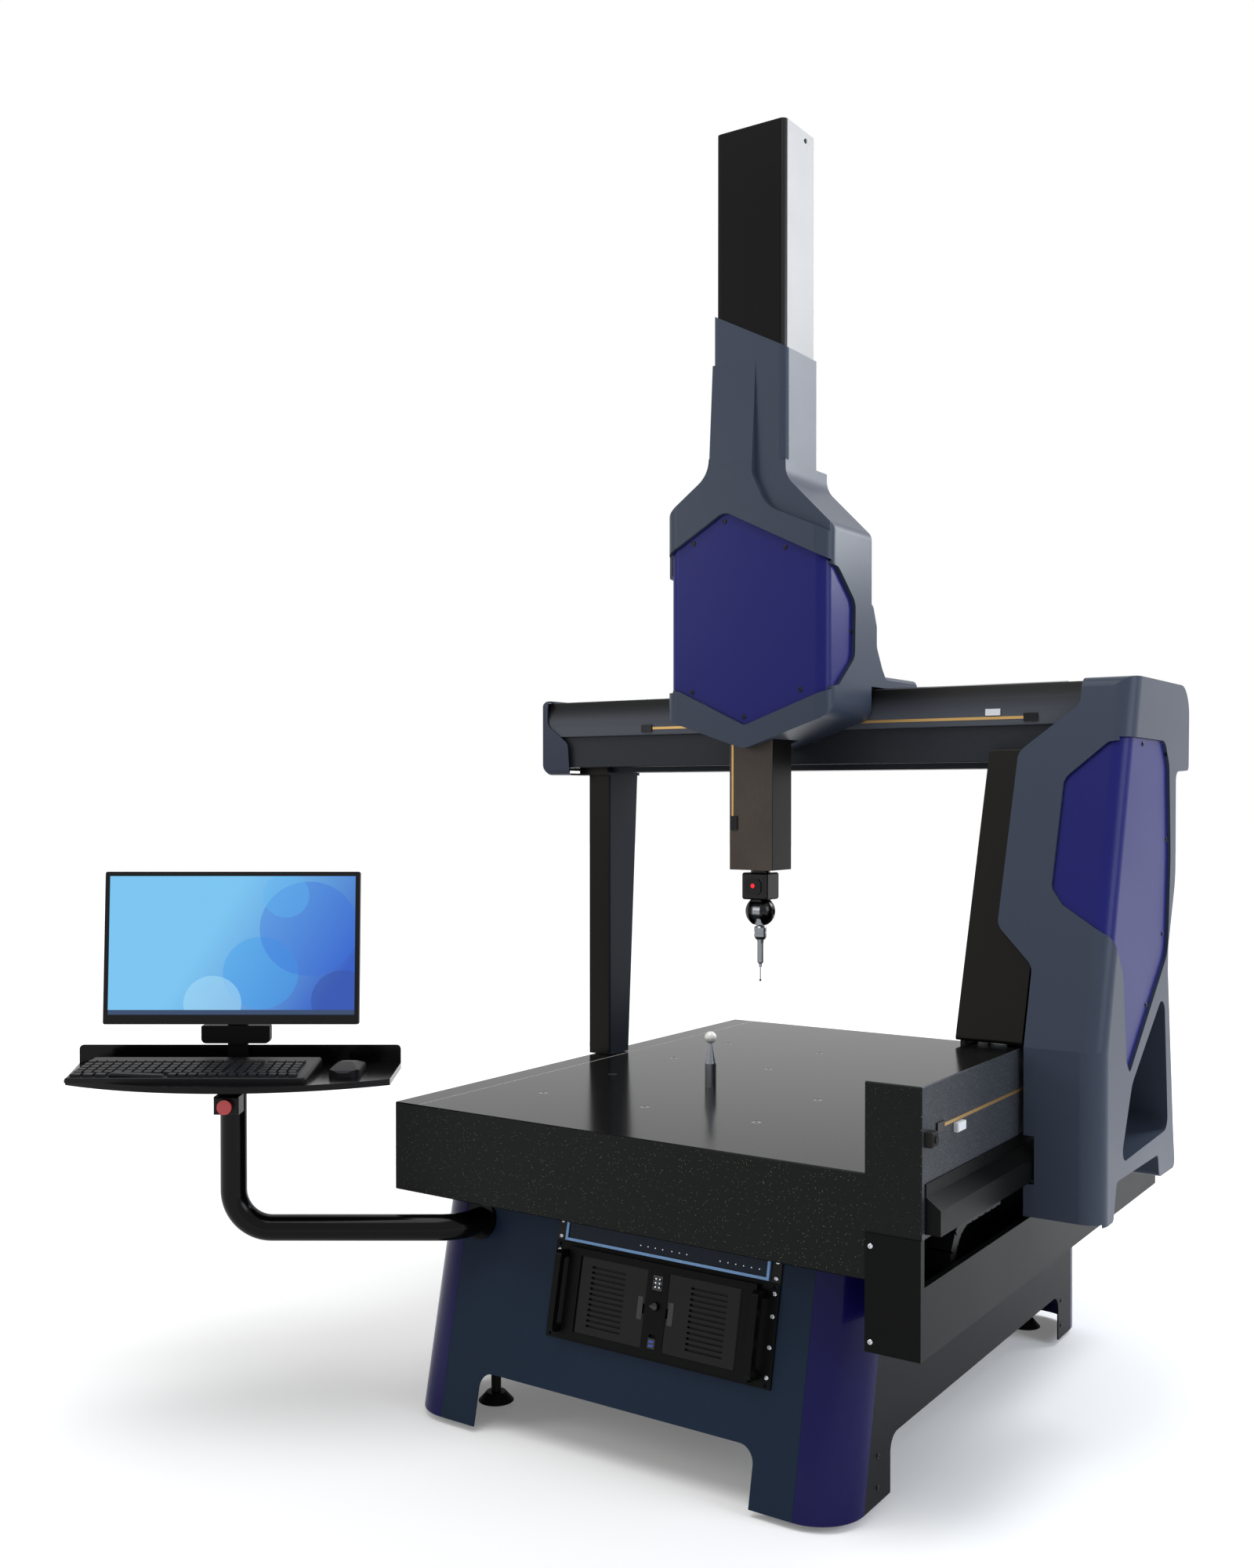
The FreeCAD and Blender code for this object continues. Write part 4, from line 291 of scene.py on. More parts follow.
def build_materials():
    """All finishes by record slot, plus the small parts' own."""
    black = "#070708"
    return {
        "granite": granite("Granite top", "#080909", "#121314", "#5c5a52", 0.16, 0.06),
        "granite_front": granite("Granite front", "#0b0e0d", "#191c1b", "#a39a7c", 0.42, 0.1,
                                 2.6, 0.2),
        "granite_side": granite("Granite rail", "#24272b", "#4a4e54", "#8e9196", 0.4, 0.12, 1.6,
                                0.5, 0.9),
        "insert_steel": finish("Machined steel", "#7d8085", "#5c6066", 0.34, 1.0, 0.6, 0.004),
        "frame_paint": finish("Frame paint", "#17181a", "#101012", 0.5, 0.0, 0.8, 0.02, gleam=0.2),
        "panel_blue": finish("Dark blue paint", "#182536", "#213248", 0.34, 0.0, 0.7, 0.010,
                             gleam=0.08),
        "panel_charcoal": finish("Charcoal paint", "#0c0e11", "#16191e", 0.42, 0.0, 0.7, 0.012,
                                 gleam=0.06),
        "column_indigo": finish("Indigo paint", "#0f0c44", "#17155a", 0.28, 0.0, 0.7, 0.008,
                                coat=0.1, gleam=0.08),
        "black_sheet": finish("Black sheet", "#0b0c0b", black, 0.40, 0.0, 0.6, 0.006,
                              stretch=(1, 1, 0.04), gleam=0.06),
        "black_gloss": finish("Black enamel", "#060607", "#0c0c0e", 0.2, 0.0, 1.5, 0.004,
                              gleam=0.12),
        "anodised_black": finish("Black anodising", "#171614", "#0f0f0f", 0.36, 0.4, 0.35, 0.005,
                                 stretch=(1, 1, 0.05), patch_mm=400, gleam=0.12),
        "cover_slate": finish("Slate moulding", "#3b4250", "#353c4a", 0.34, 0.0, 0.5, 0.012,
                              contrast=0.5, gleam=0.1),
        "cover_indigo": finish("Indigo moulding", "#1d1f63", "#171a55", 0.34, 0.0, 0.5, 0.010,
                               gleam=0.1),
        "column_black": finish("Column sheet", "#0b0c0b", black, 0.34, 0.0, 0.6, 0.006,
                               stretch=(1, 1, 0.04), gleam=0.3),
        "beam_black": painted_beam_sheen("Beam anodising with painted sheen"),
        "cap_slate": finish("End cap moulding", "#272e40", "#202635", 0.34, 0.0, 0.5, 0.012,
                            gleam=0.2),
        "tape_gold": scale_tape("Scale tape"),
        "rubber": finish("Rubber", "#141210", "#0c0b0a", 0.7, 0.0, 1.2, 0.03, gleam=0.2),
        "leg_slate": finish("Leg side", "#141a24", "#1a212d", 0.4, 0.0, 0.6, 0.006, gleam=0.1),
        "chain_black": finish("Chain nylon", "#0e0e0e", black, 0.5, 0.0, 0.8, 0.01, gleam=0.2),
        "bearing_grey": finish("Bearing aluminium", "#8c8f94", "#74777c", 0.35, 1.0, 0.4, 0.004),
        "motor_black": finish("Motor enamel", "#121315", black, 0.4, 0.2, 0.6, 0.01, gleam=0.25),
        "roller_steel": finish("Ground steel", "#b4b7bb", "#95989d", 0.22, 1.0, 0.3, 0.002),
        "controller_front": finish("Silver blue rim", "#6f97c4", "#557aa6", 0.34, 0.3, 0.5,
                                   0.004),
        "controller_panel": finish("Controller panel", "#0b1826", "#0e1e30", 0.3, 0.0, 0.6,
                                   0.003, gleam=0.15),
        "plastic_black": finish("Black plastic", "#101012", black, 0.42, 0.0, 0.6, 0.015,
                                gleam=0.15),
        "ram_bronze": finish("Ram front", "#4b433d", "#352f2b", 0.42, 0.0, 0.35, 0.005,
                             stretch=(1, 1, 0.03), patch_mm=150, contrast=0.9, gleam=0.15),
        "screen": screen_design("Display"),
        "stop_red": finish("Red knob", "#c2141c", "#9a0f16", 0.28, 0.0, 0.8, 0.004, coat=0.4),
        "probe_steel": finish("Dark probe metal", "#85888c", "#4a4c50", 0.28, 0.9, 0.4, 0.003),
        "head_black": finish("Head enamel", "#050505", "#0b0b0c", 0.26, 0.0, 0.8, 0.004,
                             gleam=0.25),
        "socket_dark": finish("Dark socket", "#030304", "#08080a", 0.5, 0.0, 0.5, 0.01),
        "head_plate": finish("Head face plate", "#1d1d1f", "#28282b", 0.45, 0.0, 0.4, 0.004,
                             gleam=0.12),
        "sphere_white": finish("White ceramic", "#efeee8", "#e2e1da", 0.08, 0.0, 2.0, 0.001,
                               coat=0.5),
        "stylus_steel": finish("Stylus steel", "#8f9296", "#6c6f74", 0.25, 1.0, 0.4, 0.002),
        "stylus_ruby": finish("Ruby ball", "#1a0506", "#2b080a", 0.1, 0.0, 0.4, 0.001),
        "screw": finish("Black screw", "#131316", "#222226", 0.3, 0.7, 0.4, 0.003),
        "bright_screw": finish("Bright screw", "#b9bbc0", "#8f9297", 0.28, 1.0, 0.4, 0.003),
        "line_white": finish("White line", "#b9b7b2", "#a5a39e", 0.5, 0.0, 1.0, 0.004),
        "key_black": finish("Keycap", "#111113", "#0b0b0d", 0.48, 0.0, 0.5, 0.012, gleam=0.15),
        "lamp_red": glow("Red lamp", "#e81a1c", "#b00c10", 1.0),
        "lamp_white": glow("White lamp", "#e8f0ff", "#aeb8c8", 0.8),
        "port_blue": finish("Port blue", "#2c49c8", "#2038a0", 0.4, 0.0, 0.8, 0.004),
        "mark_white": finish("Mark white", "#d8dade", "#c3c6cc", 0.4, 0.0, 0.6, 0.004),
    }


MATERIALS = {}


def paint_frame():
    """Give every CAD node the finish of its record slot."""
    slots = {s["node"]: s["material_slot"] for s in frame["record"]["subparts"]}
    for name, obj in frame["nodes"].items():
        obj.data.materials.clear()
        obj.data.materials.append(MATERIALS[slots[name]])
        for polygon in obj.data.polygons:
            polygon.material_index = 0


def paint_where(name, material, test):
    """Repaint the faces of one node whose centre and normal pass a test."""
    obj = frame["nodes"][name]
    obj.data.materials.append(MATERIALS[material])
    for polygon in obj.data.polygons:
        if test(obj.matrix_world @ polygon.center, polygon.normal):
            polygon.material_index = len(obj.data.materials) - 1


SCALE_CLAMP = 0.0285         # from a scale's end to just past its clamp
TAPE_HALF_WIDTH = 0.0031     # from the tape's middle to just past its edge
STYLUS_BALL = 0.0048         # from the stylus's lower end to just past its ball
# Depths behind the rack's mounting face; less than 0 is in front of it.
CONTROLLER_RIM = -0.0075     # only the controller's raised rim stands in front of this
CONTROLLER_EARS = -0.0045    # the ears and the case lie behind this


def paint_scale(name, axis, mark_start, mark_end):
    """Darken a scale's end clamps and whiten its mark, given by points at the tape's height."""
    low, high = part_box(name)
    first, last = low[axis] + SCALE_CLAMP, high[axis] - SCALE_CLAMP
    paint_where(name, "screw", lambda c, n: not first < c[axis] < last)
    paint_where(name, "mark_white", lambda c, n: abs(c.z - mark_start.z) > TAPE_HALF_WIDTH
                and mark_start[axis] < c[axis] < mark_end[axis])


def paint_details():
    """Faces whose finish differs from their piece's own, by their place and direction."""
    # The beam's front faces take the painted sheen, lighter down the cove towards the ledge.
    paint_where("cross_beam", "beam_black", lambda c, n: n.y < -0.1)
    paint_where("column_cover", "column_black", lambda c, n: n.x > 0.3)
    paint_where("ram", "ram_bronze", lambda c, n: n.y < -0.5)
    clamp_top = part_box("z_scale")[0].z + SCALE_CLAMP
    paint_where("z_scale", "screw", lambda c, n: c.z < clamp_top)
    for name, material in (("head_body", "head_black"), ("head_knuckle", "head_black"),
                           ("left_end_cap", "cap_slate")):
        paint_where(name, material, lambda c, n: True)
    paint_where("left_leg", "leg_slate", lambda c, n: n.x > 0.5)
    paint_where("guide_rail", "granite", lambda c, n: n.z > 0.9)
    paint_where("guide_rail", "granite_front", lambda c, n: n.y < -0.5)
    paint_where("granite_table", "granite_front", lambda c, n: abs(n.z) < 0.7)
    paint_scale("y_scale", 1, drawn(0, 120, 695), drawn(0, 175, 695))
    paint_scale("x_scale", 0, drawn(980, 0, 1382), drawn(1020, 0, 1382))
    paint_where("probe_controller", "controller_panel",
                lambda c, n: n.y < -0.9 and on_rack_back(c) > CONTROLLER_RIM)
    paint_where("probe_controller", "plastic_black",
                lambda c, n: on_rack_back(c) > CONTROLLER_EARS)
    ball_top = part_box("stylus")[0].z + STYLUS_BALL
    paint_where("stylus", "stylus_ruby", lambda c, n: c.z < ball_top)


# ---------------------------------------------------------------- mesh helpers
def mesh_object(name, bm, material, body):
    """Turn a finished bmesh into a painted piece that rides on a body."""
    bmesh.ops.recalc_face_normals(bm, faces=bm.faces)
    data = bpy.data.meshes.new(name)
    bm.to_mesh(data)
    bm.free()
    data.materials.append(MATERIALS[material])
    obj = bpy.data.objects.new(name, data)
    bpy.context.scene.collection.objects.link(obj)
    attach(obj, body)


def add_box(bm, low, high):
    """A box between two corners given in the row frame's metres."""
    made = bmesh.ops.create_cube(bm, size=1.0)
    size = high - low
    middle = (high + low) / 2
    for v in made["verts"]:
        v.co = Vector((v.co.x * size.x, v.co.y * size.y, v.co.z * size.z)) + middle


def rack_place(x, back, up):
    """Matrix that stands a piece on a point of the rack's leaning face."""
    return Matrix.Translation(on_rack(x, back, up)) @ Matrix.Rotation(-LEAN_ANGLE, 4, "X")


def rack_plate(bm, x, back, up, size):
    """A small block centred on a point of the rack's face, its size in millimetres."""
    made = bmesh.ops.create_cube(bm, size=1.0)
    scale = Matrix.Diagonal((size[0] / 1000, size[1] / 1000, size[2] / 1000, 1))
    bmesh.ops.transform(bm, matrix=rack_place(x, back, up) @ scale, verts=made["verts"])


def rack_disc(bm, x, back, up, radius, deep, sides=20):
    """A small disc that faces out of the rack's face, its sizes in millimetres."""
    made = bmesh.ops.create_cone(bm, cap_ends=True, segments=sides, radius1=radius / 1000,
                                 radius2=radius / 1000, depth=deep / 1000)
    turn = Matrix.Rotation(math.pi / 2, 4, "X")
    bmesh.ops.transform(bm, matrix=rack_place(x, back, up) @ turn, verts=made["verts"])


def screw_head(radius, height):
    """Button-head socket screw standing on z = 0, facing +Z."""
    bm = bmesh.new()
    steps = 24
    rings = [(radius, 0.0), (radius, height * 0.35), (radius * 0.86, height * 0.78),
             (radius * 0.6, height)]
    loops = []
    for r, z in rings:
        loops.append([bm.verts.new((r * math.cos(k * math.tau / steps),
                                    r * math.sin(k * math.tau / steps), z)) for k in range(steps)])
    for lower, upper in zip(loops, loops[1:]):
        for k in range(steps):
            bm.faces.new((lower[k], lower[(k + 1) % steps], upper[(k + 1) % steps], upper[k]))
    hexagon = [bm.verts.new((radius * 0.42 * math.cos(k * math.tau / 6),
                             radius * 0.42 * math.sin(k * math.tau / 6), height))
               for k in range(6)]
    floor = [bm.verts.new((v.co.x, v.co.y, height * 0.35)) for v in hexagon]
    per = steps // 6
    for k in range(6):
        a, b = hexagon[k], hexagon[(k + 1) % 6]
        bm.faces.new([loops[-1][(k * per + j) % steps] for j in range(per + 1)] + [b, a])
        bm.faces.new((a, b, floor[(k + 1) % 6], floor[k]))
    bm.faces.new(floor)
    bm.faces.new(list(reversed(loops[0])))
    bmesh.ops.recalc_face_normals(bm, faces=bm.faces)
    data = bpy.data.meshes.new("screw head")
    bm.to_mesh(data)
    bm.free()
    return bpy.data.objects.new("screw head", data)


def repeat_tree():
    """Node group: one object repeated on the points of a mesh, turned, realised and painted."""
    tree = bpy.data.node_groups.new("Repeat on points", "GeometryNodeTree")
    face = tree.interface
    face.new_socket("Points", in_out="INPUT", socket_type="NodeSocketGeometry")
    face.new_socket("Piece", in_out="INPUT", socket_type="NodeSocketObject")
    face.new_socket("Turn", in_out="INPUT", socket_type="NodeSocketRotation")
    face.new_socket("Finish", in_out="INPUT", socket_type="NodeSocketMaterial")
    face.new_socket("Geometry", in_out="OUTPUT", socket_type="NodeSocketGeometry")
    enter = tree.nodes.new("NodeGroupInput")
    leave = tree.nodes.new("NodeGroupOutput")
    info = node(tree, "GeometryNodeObjectInfo", ("Object", enter.outputs["Piece"]))
    size = node(tree, "GeometryNodeInputNamedAttribute", ("Name", "size"),
                data_type="FLOAT_VECTOR")
    aim = node(tree, "GeometryNodeInputNamedAttribute", ("Name", "aim"),
               data_type="FLOAT_VECTOR")
    turn = node(tree, "FunctionNodeAlignRotationToVector",
                ("Rotation", enter.outputs["Turn"]), ("Vector", aim.outputs["Attribute"]),
                axis="Z")
    points = node(tree, "GeometryNodeInstanceOnPoints", ("Points", enter.outputs["Points"]),
                  ("Instance", info.outputs["Geometry"]), ("Rotation", turn.outputs[0]),
                  ("Scale", size.outputs["Attribute"]))
    solid = node(tree, "GeometryNodeRealizeInstances", ("Geometry", points.outputs[0]))
    painted = node(tree, "GeometryNodeSetMaterial", ("Geometry", solid.outputs[0]),
                   ("Material", enter.outputs["Finish"]))
    tree.links.new(painted.outputs[0], leave.inputs["Geometry"])
    return tree


def repeat(name, piece, points, turn, material, body, sizes=None, aims=None):
    """Repeat a piece on points (row frame), turned or aimed, as a plain mesh on a body."""
    data = bpy.data.meshes.new(name)
    data.from_pydata([tuple(p) for p in points], [], [])
    attribute = data.attributes.new("size", "FLOAT_VECTOR", "POINT")
    facing = data.attributes.new("aim", "FLOAT_VECTOR", "POINT")
    plain_aim = Euler(turn).to_matrix() @ Vector((0, 0, 1))
    for k in range(len(points)):
        attribute.data[k].vector = sizes[k] if sizes else (1, 1, 1)
        facing.data[k].vector = aims[k] if aims else plain_aim
    obj = bpy.data.objects.new(name, data)
    bpy.context.scene.collection.objects.link(obj)
    tree = bpy.data.node_groups.get("Repeat on points") or repeat_tree()
    modifier = obj.modifiers.new("Repeat", "NODES")
    modifier.node_group = tree
    values = {"Piece": piece, "Turn": turn, "Finish": MATERIALS[material]}
    for item in tree.interface.items_tree:
        if item.name in values:
            modifier[item.identifier] = values[item.name]
    bpy.context.view_layer.update()
    shown = obj.evaluated_get(bpy.context.evaluated_depsgraph_get())
    plain = bpy.data.meshes.new_from_object(shown)
    obj.modifiers.clear()
    obj.data = plain
    plain.materials.clear()
    plain.materials.append(MATERIALS[material])
    bpy.data.meshes.remove(data)
    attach(obj, body)


def on_surface(name, spots):
    """Nearest points on one CAD node to drawing points, with the surface's directions there."""
    obj = frame["nodes"][name]
    points, aims = [], []
    for spot in spots:
        near = obj.closest_point_on_mesh(obj.matrix_world.inverted() @ drawn(*spot))
        points.append(obj.matrix_world @ near[1])
        aims.append(near[2])
    return points, aims


# Turns that face a piece standing on z = 0 out of the machine's sides and the leaning rack.
FACING_FRONT = (math.pi / 2, 0.0, 0.0)
FACING_RIGHT = (0.0, math.pi / 2, 0.0)
FACING_LEFT = (0.0, -math.pi / 2, 0.0)
FACING_RACK = (math.pi / 2 - LEAN_ANGLE, 0.0, 0.0)


# ---------------------------------------------------------------- sizes and colours
class ScrewSizes(bpy.types.PropertyGroup):
    """Sizes of the covers' and the stand's screws"""
    cover_radius: FloatProperty(name="Cover screw radius", description="Button heads on covers",
                                default=0.0048, min=0.001, unit="LENGTH")
    cover_height: FloatProperty(name="Cover screw height", description="Height of those heads",
                                default=0.0022, min=0.0005, unit="LENGTH")
    panel_radius: FloatProperty(name="Panel screw radius", description="Heads on the stand",
                                default=0.0045, min=0.001, unit="LENGTH")


class KeyboardSizes(bpy.types.PropertyGroup):
    """Sizes of the keycaps"""
    pitch: FloatProperty(name="Key pitch", description="Distance between key centres",
                         default=0.01905, min=0.01, unit="LENGTH")
    height: FloatProperty(name="Key height", description="Height of a cap over the case",
                          default=0.0045, min=0.001, unit="LENGTH")
    rows: IntProperty(name="Key rows", description="Rows of keys", default=6, min=1, max=8)


class LineSizes(bpy.types.PropertyGroup):
    """Place and width of the line on the table"""
    offset: FloatProperty(name="Line offset", description="Distance from the table's left edge",
                          default=0.059, min=0.0, unit="LENGTH")
    width: FloatProperty(name="Line width", description="Width of the line on the table",
                         default=0.0016, min=0.0005, unit="LENGTH")


class StageColours(bpy.types.PropertyGroup):
    """Colours and strengths of the stage"""
    floor: FloatVectorProperty(name="Floor", description="Colour of the floor", subtype="COLOR",
                               size=3, default=(0.97, 0.97, 0.97), min=0.0, max=1.0)
    ambient: FloatProperty(name="Ambient", description="Light of the studio's walls",
                           default=0.35, min=0.0)
    lift: FloatProperty(name="Floor lift", description="Extra brightness of the floor as seen",
                        default=0.15, min=0.0)
    light: FloatProperty(name="Light", description="Strength of the studio lights",
                         default=1.0, min=0.0)


# ---------------------------------------------------------------- places of small parts
# Screws by name, cover, body and rough places in the drawing; each is set on the cover's surface.
COVER_SCREWS = (
    ("carriage_inset_screws", "carriage_inset", "carriage",
     [(504, 430, 1788), (430, 430, 1749), (643, 430, 1723), (677, 430, 1440),
      (549, 430, 1390), (427, 430, 1444), (738, 545, 1560), (738, 520, 1720)]),
    ("tower_inset_screws", "tower_inset", "bridge",
     [(1262, 618, 1322), (1178, 600, 1248), (1163, 570, 1154), (1158, 540, 1060),
      (1215, 510, 1010), (1275, 700, 1328), (1275, 858, 1314), (1275, 868, 1142),
      (1275, 842, 956), (1275, 727, 828)]),
    ("column_screws", "column_cover", "carriage", [(640, 536, 2562)]))
SIDE_PANEL_SCREWS = ((150, 40), (1120, 40), (150, 95), (1120, 95))     # y and z
TROUGH_SCREWS = ((1036, 350), (1036, 505))                             # x and z
RACK_SCREW_HEIGHTS = (20.0, 70.0, 122.0, 160.0, 186.0, 214.0)
CONTROLLER_LAMPS = (190, 206, 222, 238, 258, 274, 290, 360, 376, 392, 408, 424, 440)
DOOR_FACE = -15.0            # depth of the doors' face; less than 0 is in front of the rack's

# The keyboard in the console's frame: its deck rises over its depth from its front edge.
KEYS_LEFT, KEYS_FRONT = -292.0, -84.0
DECK_FRONT, DECK_DEPTH, DECK_RISE = -90.5, 165.0, 12.0
DECK_HEIGHT = 696.2          # the caps' foot at the deck's front edge
KEY_COLUMNS = 22.4           # no key of a row starts past this many key pitches
KEY_GAP = 2.6
BLOCK_ENDS = (15.0, 18.25)   # where a row leaves a gap between its blocks of keys
BLOCK_GAP = 0.25
FUNCTION_ROW_GAP = 4.0


# ---------------------------------------------------------------- operators
class CMM_OT_finishes(bpy.types.Operator):
    """Paint every CAD node with its finish"""
    bl_idname = "cmm.finishes"
    bl_label = "Finishes"

    def execute(self, context):
        MATERIALS.update(build_materials())
        paint_frame()
        paint_details()
        return {"FINISHED"}


class CMM_OT_cover_screws(bpy.types.Operator):
    """Button-head screws of the moulded covers and their inset panels"""
    bl_idname = "cmm.cover_screws"
    bl_label = "Cover screws"

    def execute(self, context):
        p = context.scene.cmm_screws
        head = screw_head(p.cover_radius, p.cover_height)
        for name, panel, body, spots in COVER_SCREWS:
            points, aims = on_surface(panel, spots)
            repeat(name, head, points, (0, 0, 0), "screw", body, aims=aims)
        return {"FINISHED"}


class CMM_OT_stand_screws(bpy.types.Operator):
    """Small screws of the stand's side panels and the trough"""
    bl_idname = "cmm.stand_screws"
    bl_label = "Stand screws"

    def execute(self, context):
        p = context.scene.cmm_screws
        head = screw_head(p.panel_radius, p.panel_radius * 0.45)
        low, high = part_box("side_panels")
        for name, x, turn in (("Side_panel_screws", high.x, FACING_RIGHT),
                              ("Left_panel_screws", low.x, FACING_LEFT)):
            points = [Vector((x, drawn(0, y, z).y, z / 1000)) for y, z in SIDE_PANEL_SCREWS]
            repeat(name, head, points, turn, "screw", "base")
        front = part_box("trough_cover")[0].y
        points = [Vector((drawn(x, 0, z).x, front, z / 1000)) for x, z in TROUGH_SCREWS]
        repeat("Trough_screws", head, points, FACING_FRONT, "bright_screw", "base")
        return {"FINISHED"}


def keycap():
    """A cap one unit wide, deep and high that stands on z = 0 and narrows towards its top."""
    bm = bmesh.new()
    made = bmesh.ops.create_cube(bm, size=1.0)
    for v in made["verts"]:
        taper = 0.84 if v.co.z > 0 else 1.0
        v.co = Vector((v.co.x * taper, v.co.y * taper, v.co.z + 0.5))
    data = bpy.data.meshes.new("keycap")
    bm.to_mesh(data)
    bm.free()
    return bpy.data.objects.new("keycap", data)


def key_width(row, column):
    """Width of a key, in pitches: the front row has wider keys round its space bar."""
    if row == 0 and column < 3.5:
        return 1.25
    return 6.0 if row == 0 and column < 4.0 else 1.0


class CMM_OT_keys(bpy.types.Operator):
    """Keycaps of the keyboard"""
    bl_idname = "cmm.keys"
    bl_label = "Keycaps"

    def execute(self, context):
        p = context.scene.cmm_keyboard
        pitch = p.pitch * 1000
        points, sizes = [], []
        for row in range(p.rows):
            y = KEYS_FRONT + pitch * (row + 0.5)
            if row == p.rows - 1:
                y += FUNCTION_ROW_GAP
            z = DECK_HEIGHT + DECK_RISE * (y - DECK_FRONT) / DECK_DEPTH
            column = 0.0
            while column < KEY_COLUMNS:
                wide = key_width(row, column)
                if column in BLOCK_ENDS:
                    column += BLOCK_GAP
                x = KEYS_LEFT + pitch * (column + wide / 2)
                points.append(on_console(x, y, z))
                sizes.append(((pitch * wide - KEY_GAP) / 1000, (pitch - KEY_GAP) / 1000,
                              p.height))
                column += wide
        slope = math.atan(DECK_RISE / DECK_DEPTH)
        turn = (slope * math.cos(CONSOLE_TURN), slope * math.sin(CONSOLE_TURN), CONSOLE_TURN)
        repeat("Keycaps", keycap(), points, turn, "key_black", "console", sizes)
        return {"FINISHED"}


class CMM_OT_table_line(bpy.types.Operator):
    """Thin painted line along the table's left edge"""
    bl_idname = "cmm.table_line"
    bl_label = "Table line"

    def execute(self, context):
        p = context.scene.cmm_line
        low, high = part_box("granite_table")
        bm = bmesh.new()
        add_box(bm, Vector((low.x + p.offset, low.y + 0.004, high.z)),
                Vector((low.x + p.offset + p.width, high.y - 0.004, high.z + 0.00015)))
        mesh_object("Table_line", bm, "line_white", "base")
        return {"FINISHED"}


class CMM_OT_rack_details(bpy.types.Operator):
    """Lamps, lock, ports, pull recesses and screws of the rack"""
    bl_idname = "cmm.rack_details"
    bl_label = "Rack details"

    def execute(self, context):
        middle = RACK_LEFT + RACK_WIDTH / 2
        bm = bmesh.new()
        rack_plate(bm, middle, DOOR_FACE - 0.3, 138.0, (20, 0.8, 26))
        rack_plate(bm, middle, DOOR_FACE - 0.3, 32.0, (15, 0.8, 17))
        rack_disc(bm, middle, DOOR_FACE - 2.0, 97.0, 6.0, 5.0)
        rack_plate(bm, middle, DOOR_FACE - 6.0, 97.0, (15, 3.5, 4.5))
        mesh_object("Rack_badges", bm, "socket_dark", "base")
        bm = bmesh.new()
        for side in (-1, 1):
            for row in (-1, 0, 1):
                rack_disc(bm, middle + side * 4.2, DOOR_FACE - 1.0, 138.0 + row * 7.2, 1.2, 1.0,
                          12)
        mesh_object("Rack_lamps", bm, "lamp_white", "base")
        bm = bmesh.new()
        for up in (28.5, 35.5):
            rack_plate(bm, middle, DOOR_FACE - 0.9, up, (9.5, 0.8, 2.6))
        mesh_object("Rack_ports", bm, "port_blue", "base")
        points = [on_rack(x, -4.0, up) for up in RACK_SCREW_HEIGHTS for x in RACK_EARS]
        repeat("Rack_screws", screw_head(0.0042, 0.0020), points, FACING_RACK, "bright_screw",
               "base")
        bm = bmesh.new()
        for x in CONTROLLER_LAMPS:
            rack_disc(bm, RACK_LEFT + x, -6.3, 196.5, 0.9, 0.7, 10)
        mesh_object("Controller_lamps", bm, "lamp_white", "base")
        for side, name in ((-1, "left_door"), (1, "right_door")):
            bm = bmesh.new()
            rack_plate(bm, middle + side * 33.0, DOOR_FACE + 0.8, 89.0, (11, 0.8, 40))
            mesh_object("Pull_" + name, bm, "socket_dark", name)
        return {"FINISHED"}


HEAD_PLATE_HEIGHT = 1.0455   # middle of the probe head's face plate and lamp
HEAD_PLATE_OUTLINE = ((-12, 14), (12, 14), (18, 6), (18, -12), (9, -19), (-9, -19), (-18, -12),
                      (-18, 6))


class CMM_OT_head_details(bpy.types.Operator):
    """Face plate and lamp of the probe head"""
    bl_idname = "cmm.head_details"
    bl_label = "Head details"

    def execute(self, context):
        low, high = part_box("head_body")
        middle = (low.x + high.x) / 2
        bm = bmesh.new()
        front = [bm.verts.new((middle + x / 1000, low.y - 0.0012, HEAD_PLATE_HEIGHT + z / 1000))
                 for x, z in HEAD_PLATE_OUTLINE]
        back = [bm.verts.new((v.co.x, low.y + 0.0016, v.co.z)) for v in front]
        bm.faces.new(front)
        bm.faces.new(list(reversed(back)))
        corners = len(front)
        for k in range(corners):
            after = (k + 1) % corners
            bm.faces.new((front[k], back[k], back[after], front[after]))
        mesh_object("Head_plate", bm, "head_plate", "ram")
        bm = bmesh.new()
        made = bmesh.ops.create_cone(bm, cap_ends=True, segments=24, radius1=0.0048,
                                     radius2=0.0042, depth=0.0012)
        place = Matrix.Translation((middle, low.y - 0.0015, HEAD_PLATE_HEIGHT))
        turn = Matrix.Rotation(math.pi / 2, 4, "X")
        bmesh.ops.transform(bm, matrix=place @ turn, verts=made["verts"])
        mesh_object("Head_lamp", bm, "lamp_red", "ram")
        return {"FINISHED"}


def shown_rays(tree):
    """1 for the rays that see or mirror the background, 0 for those that carry its light."""
    rays = node(tree, "ShaderNodeLightPath").outputs
    plain = node(tree, "ShaderNodeMath", (0, rays["Is Camera Ray"]), (1, rays["Is Glossy Ray"]),
                 operation="MAXIMUM")
    return node(tree, "ShaderNodeMath", (0, plain.outputs[0]),
                (1, rays["Is Transmission Ray"]), operation="MAXIMUM").outputs[0]


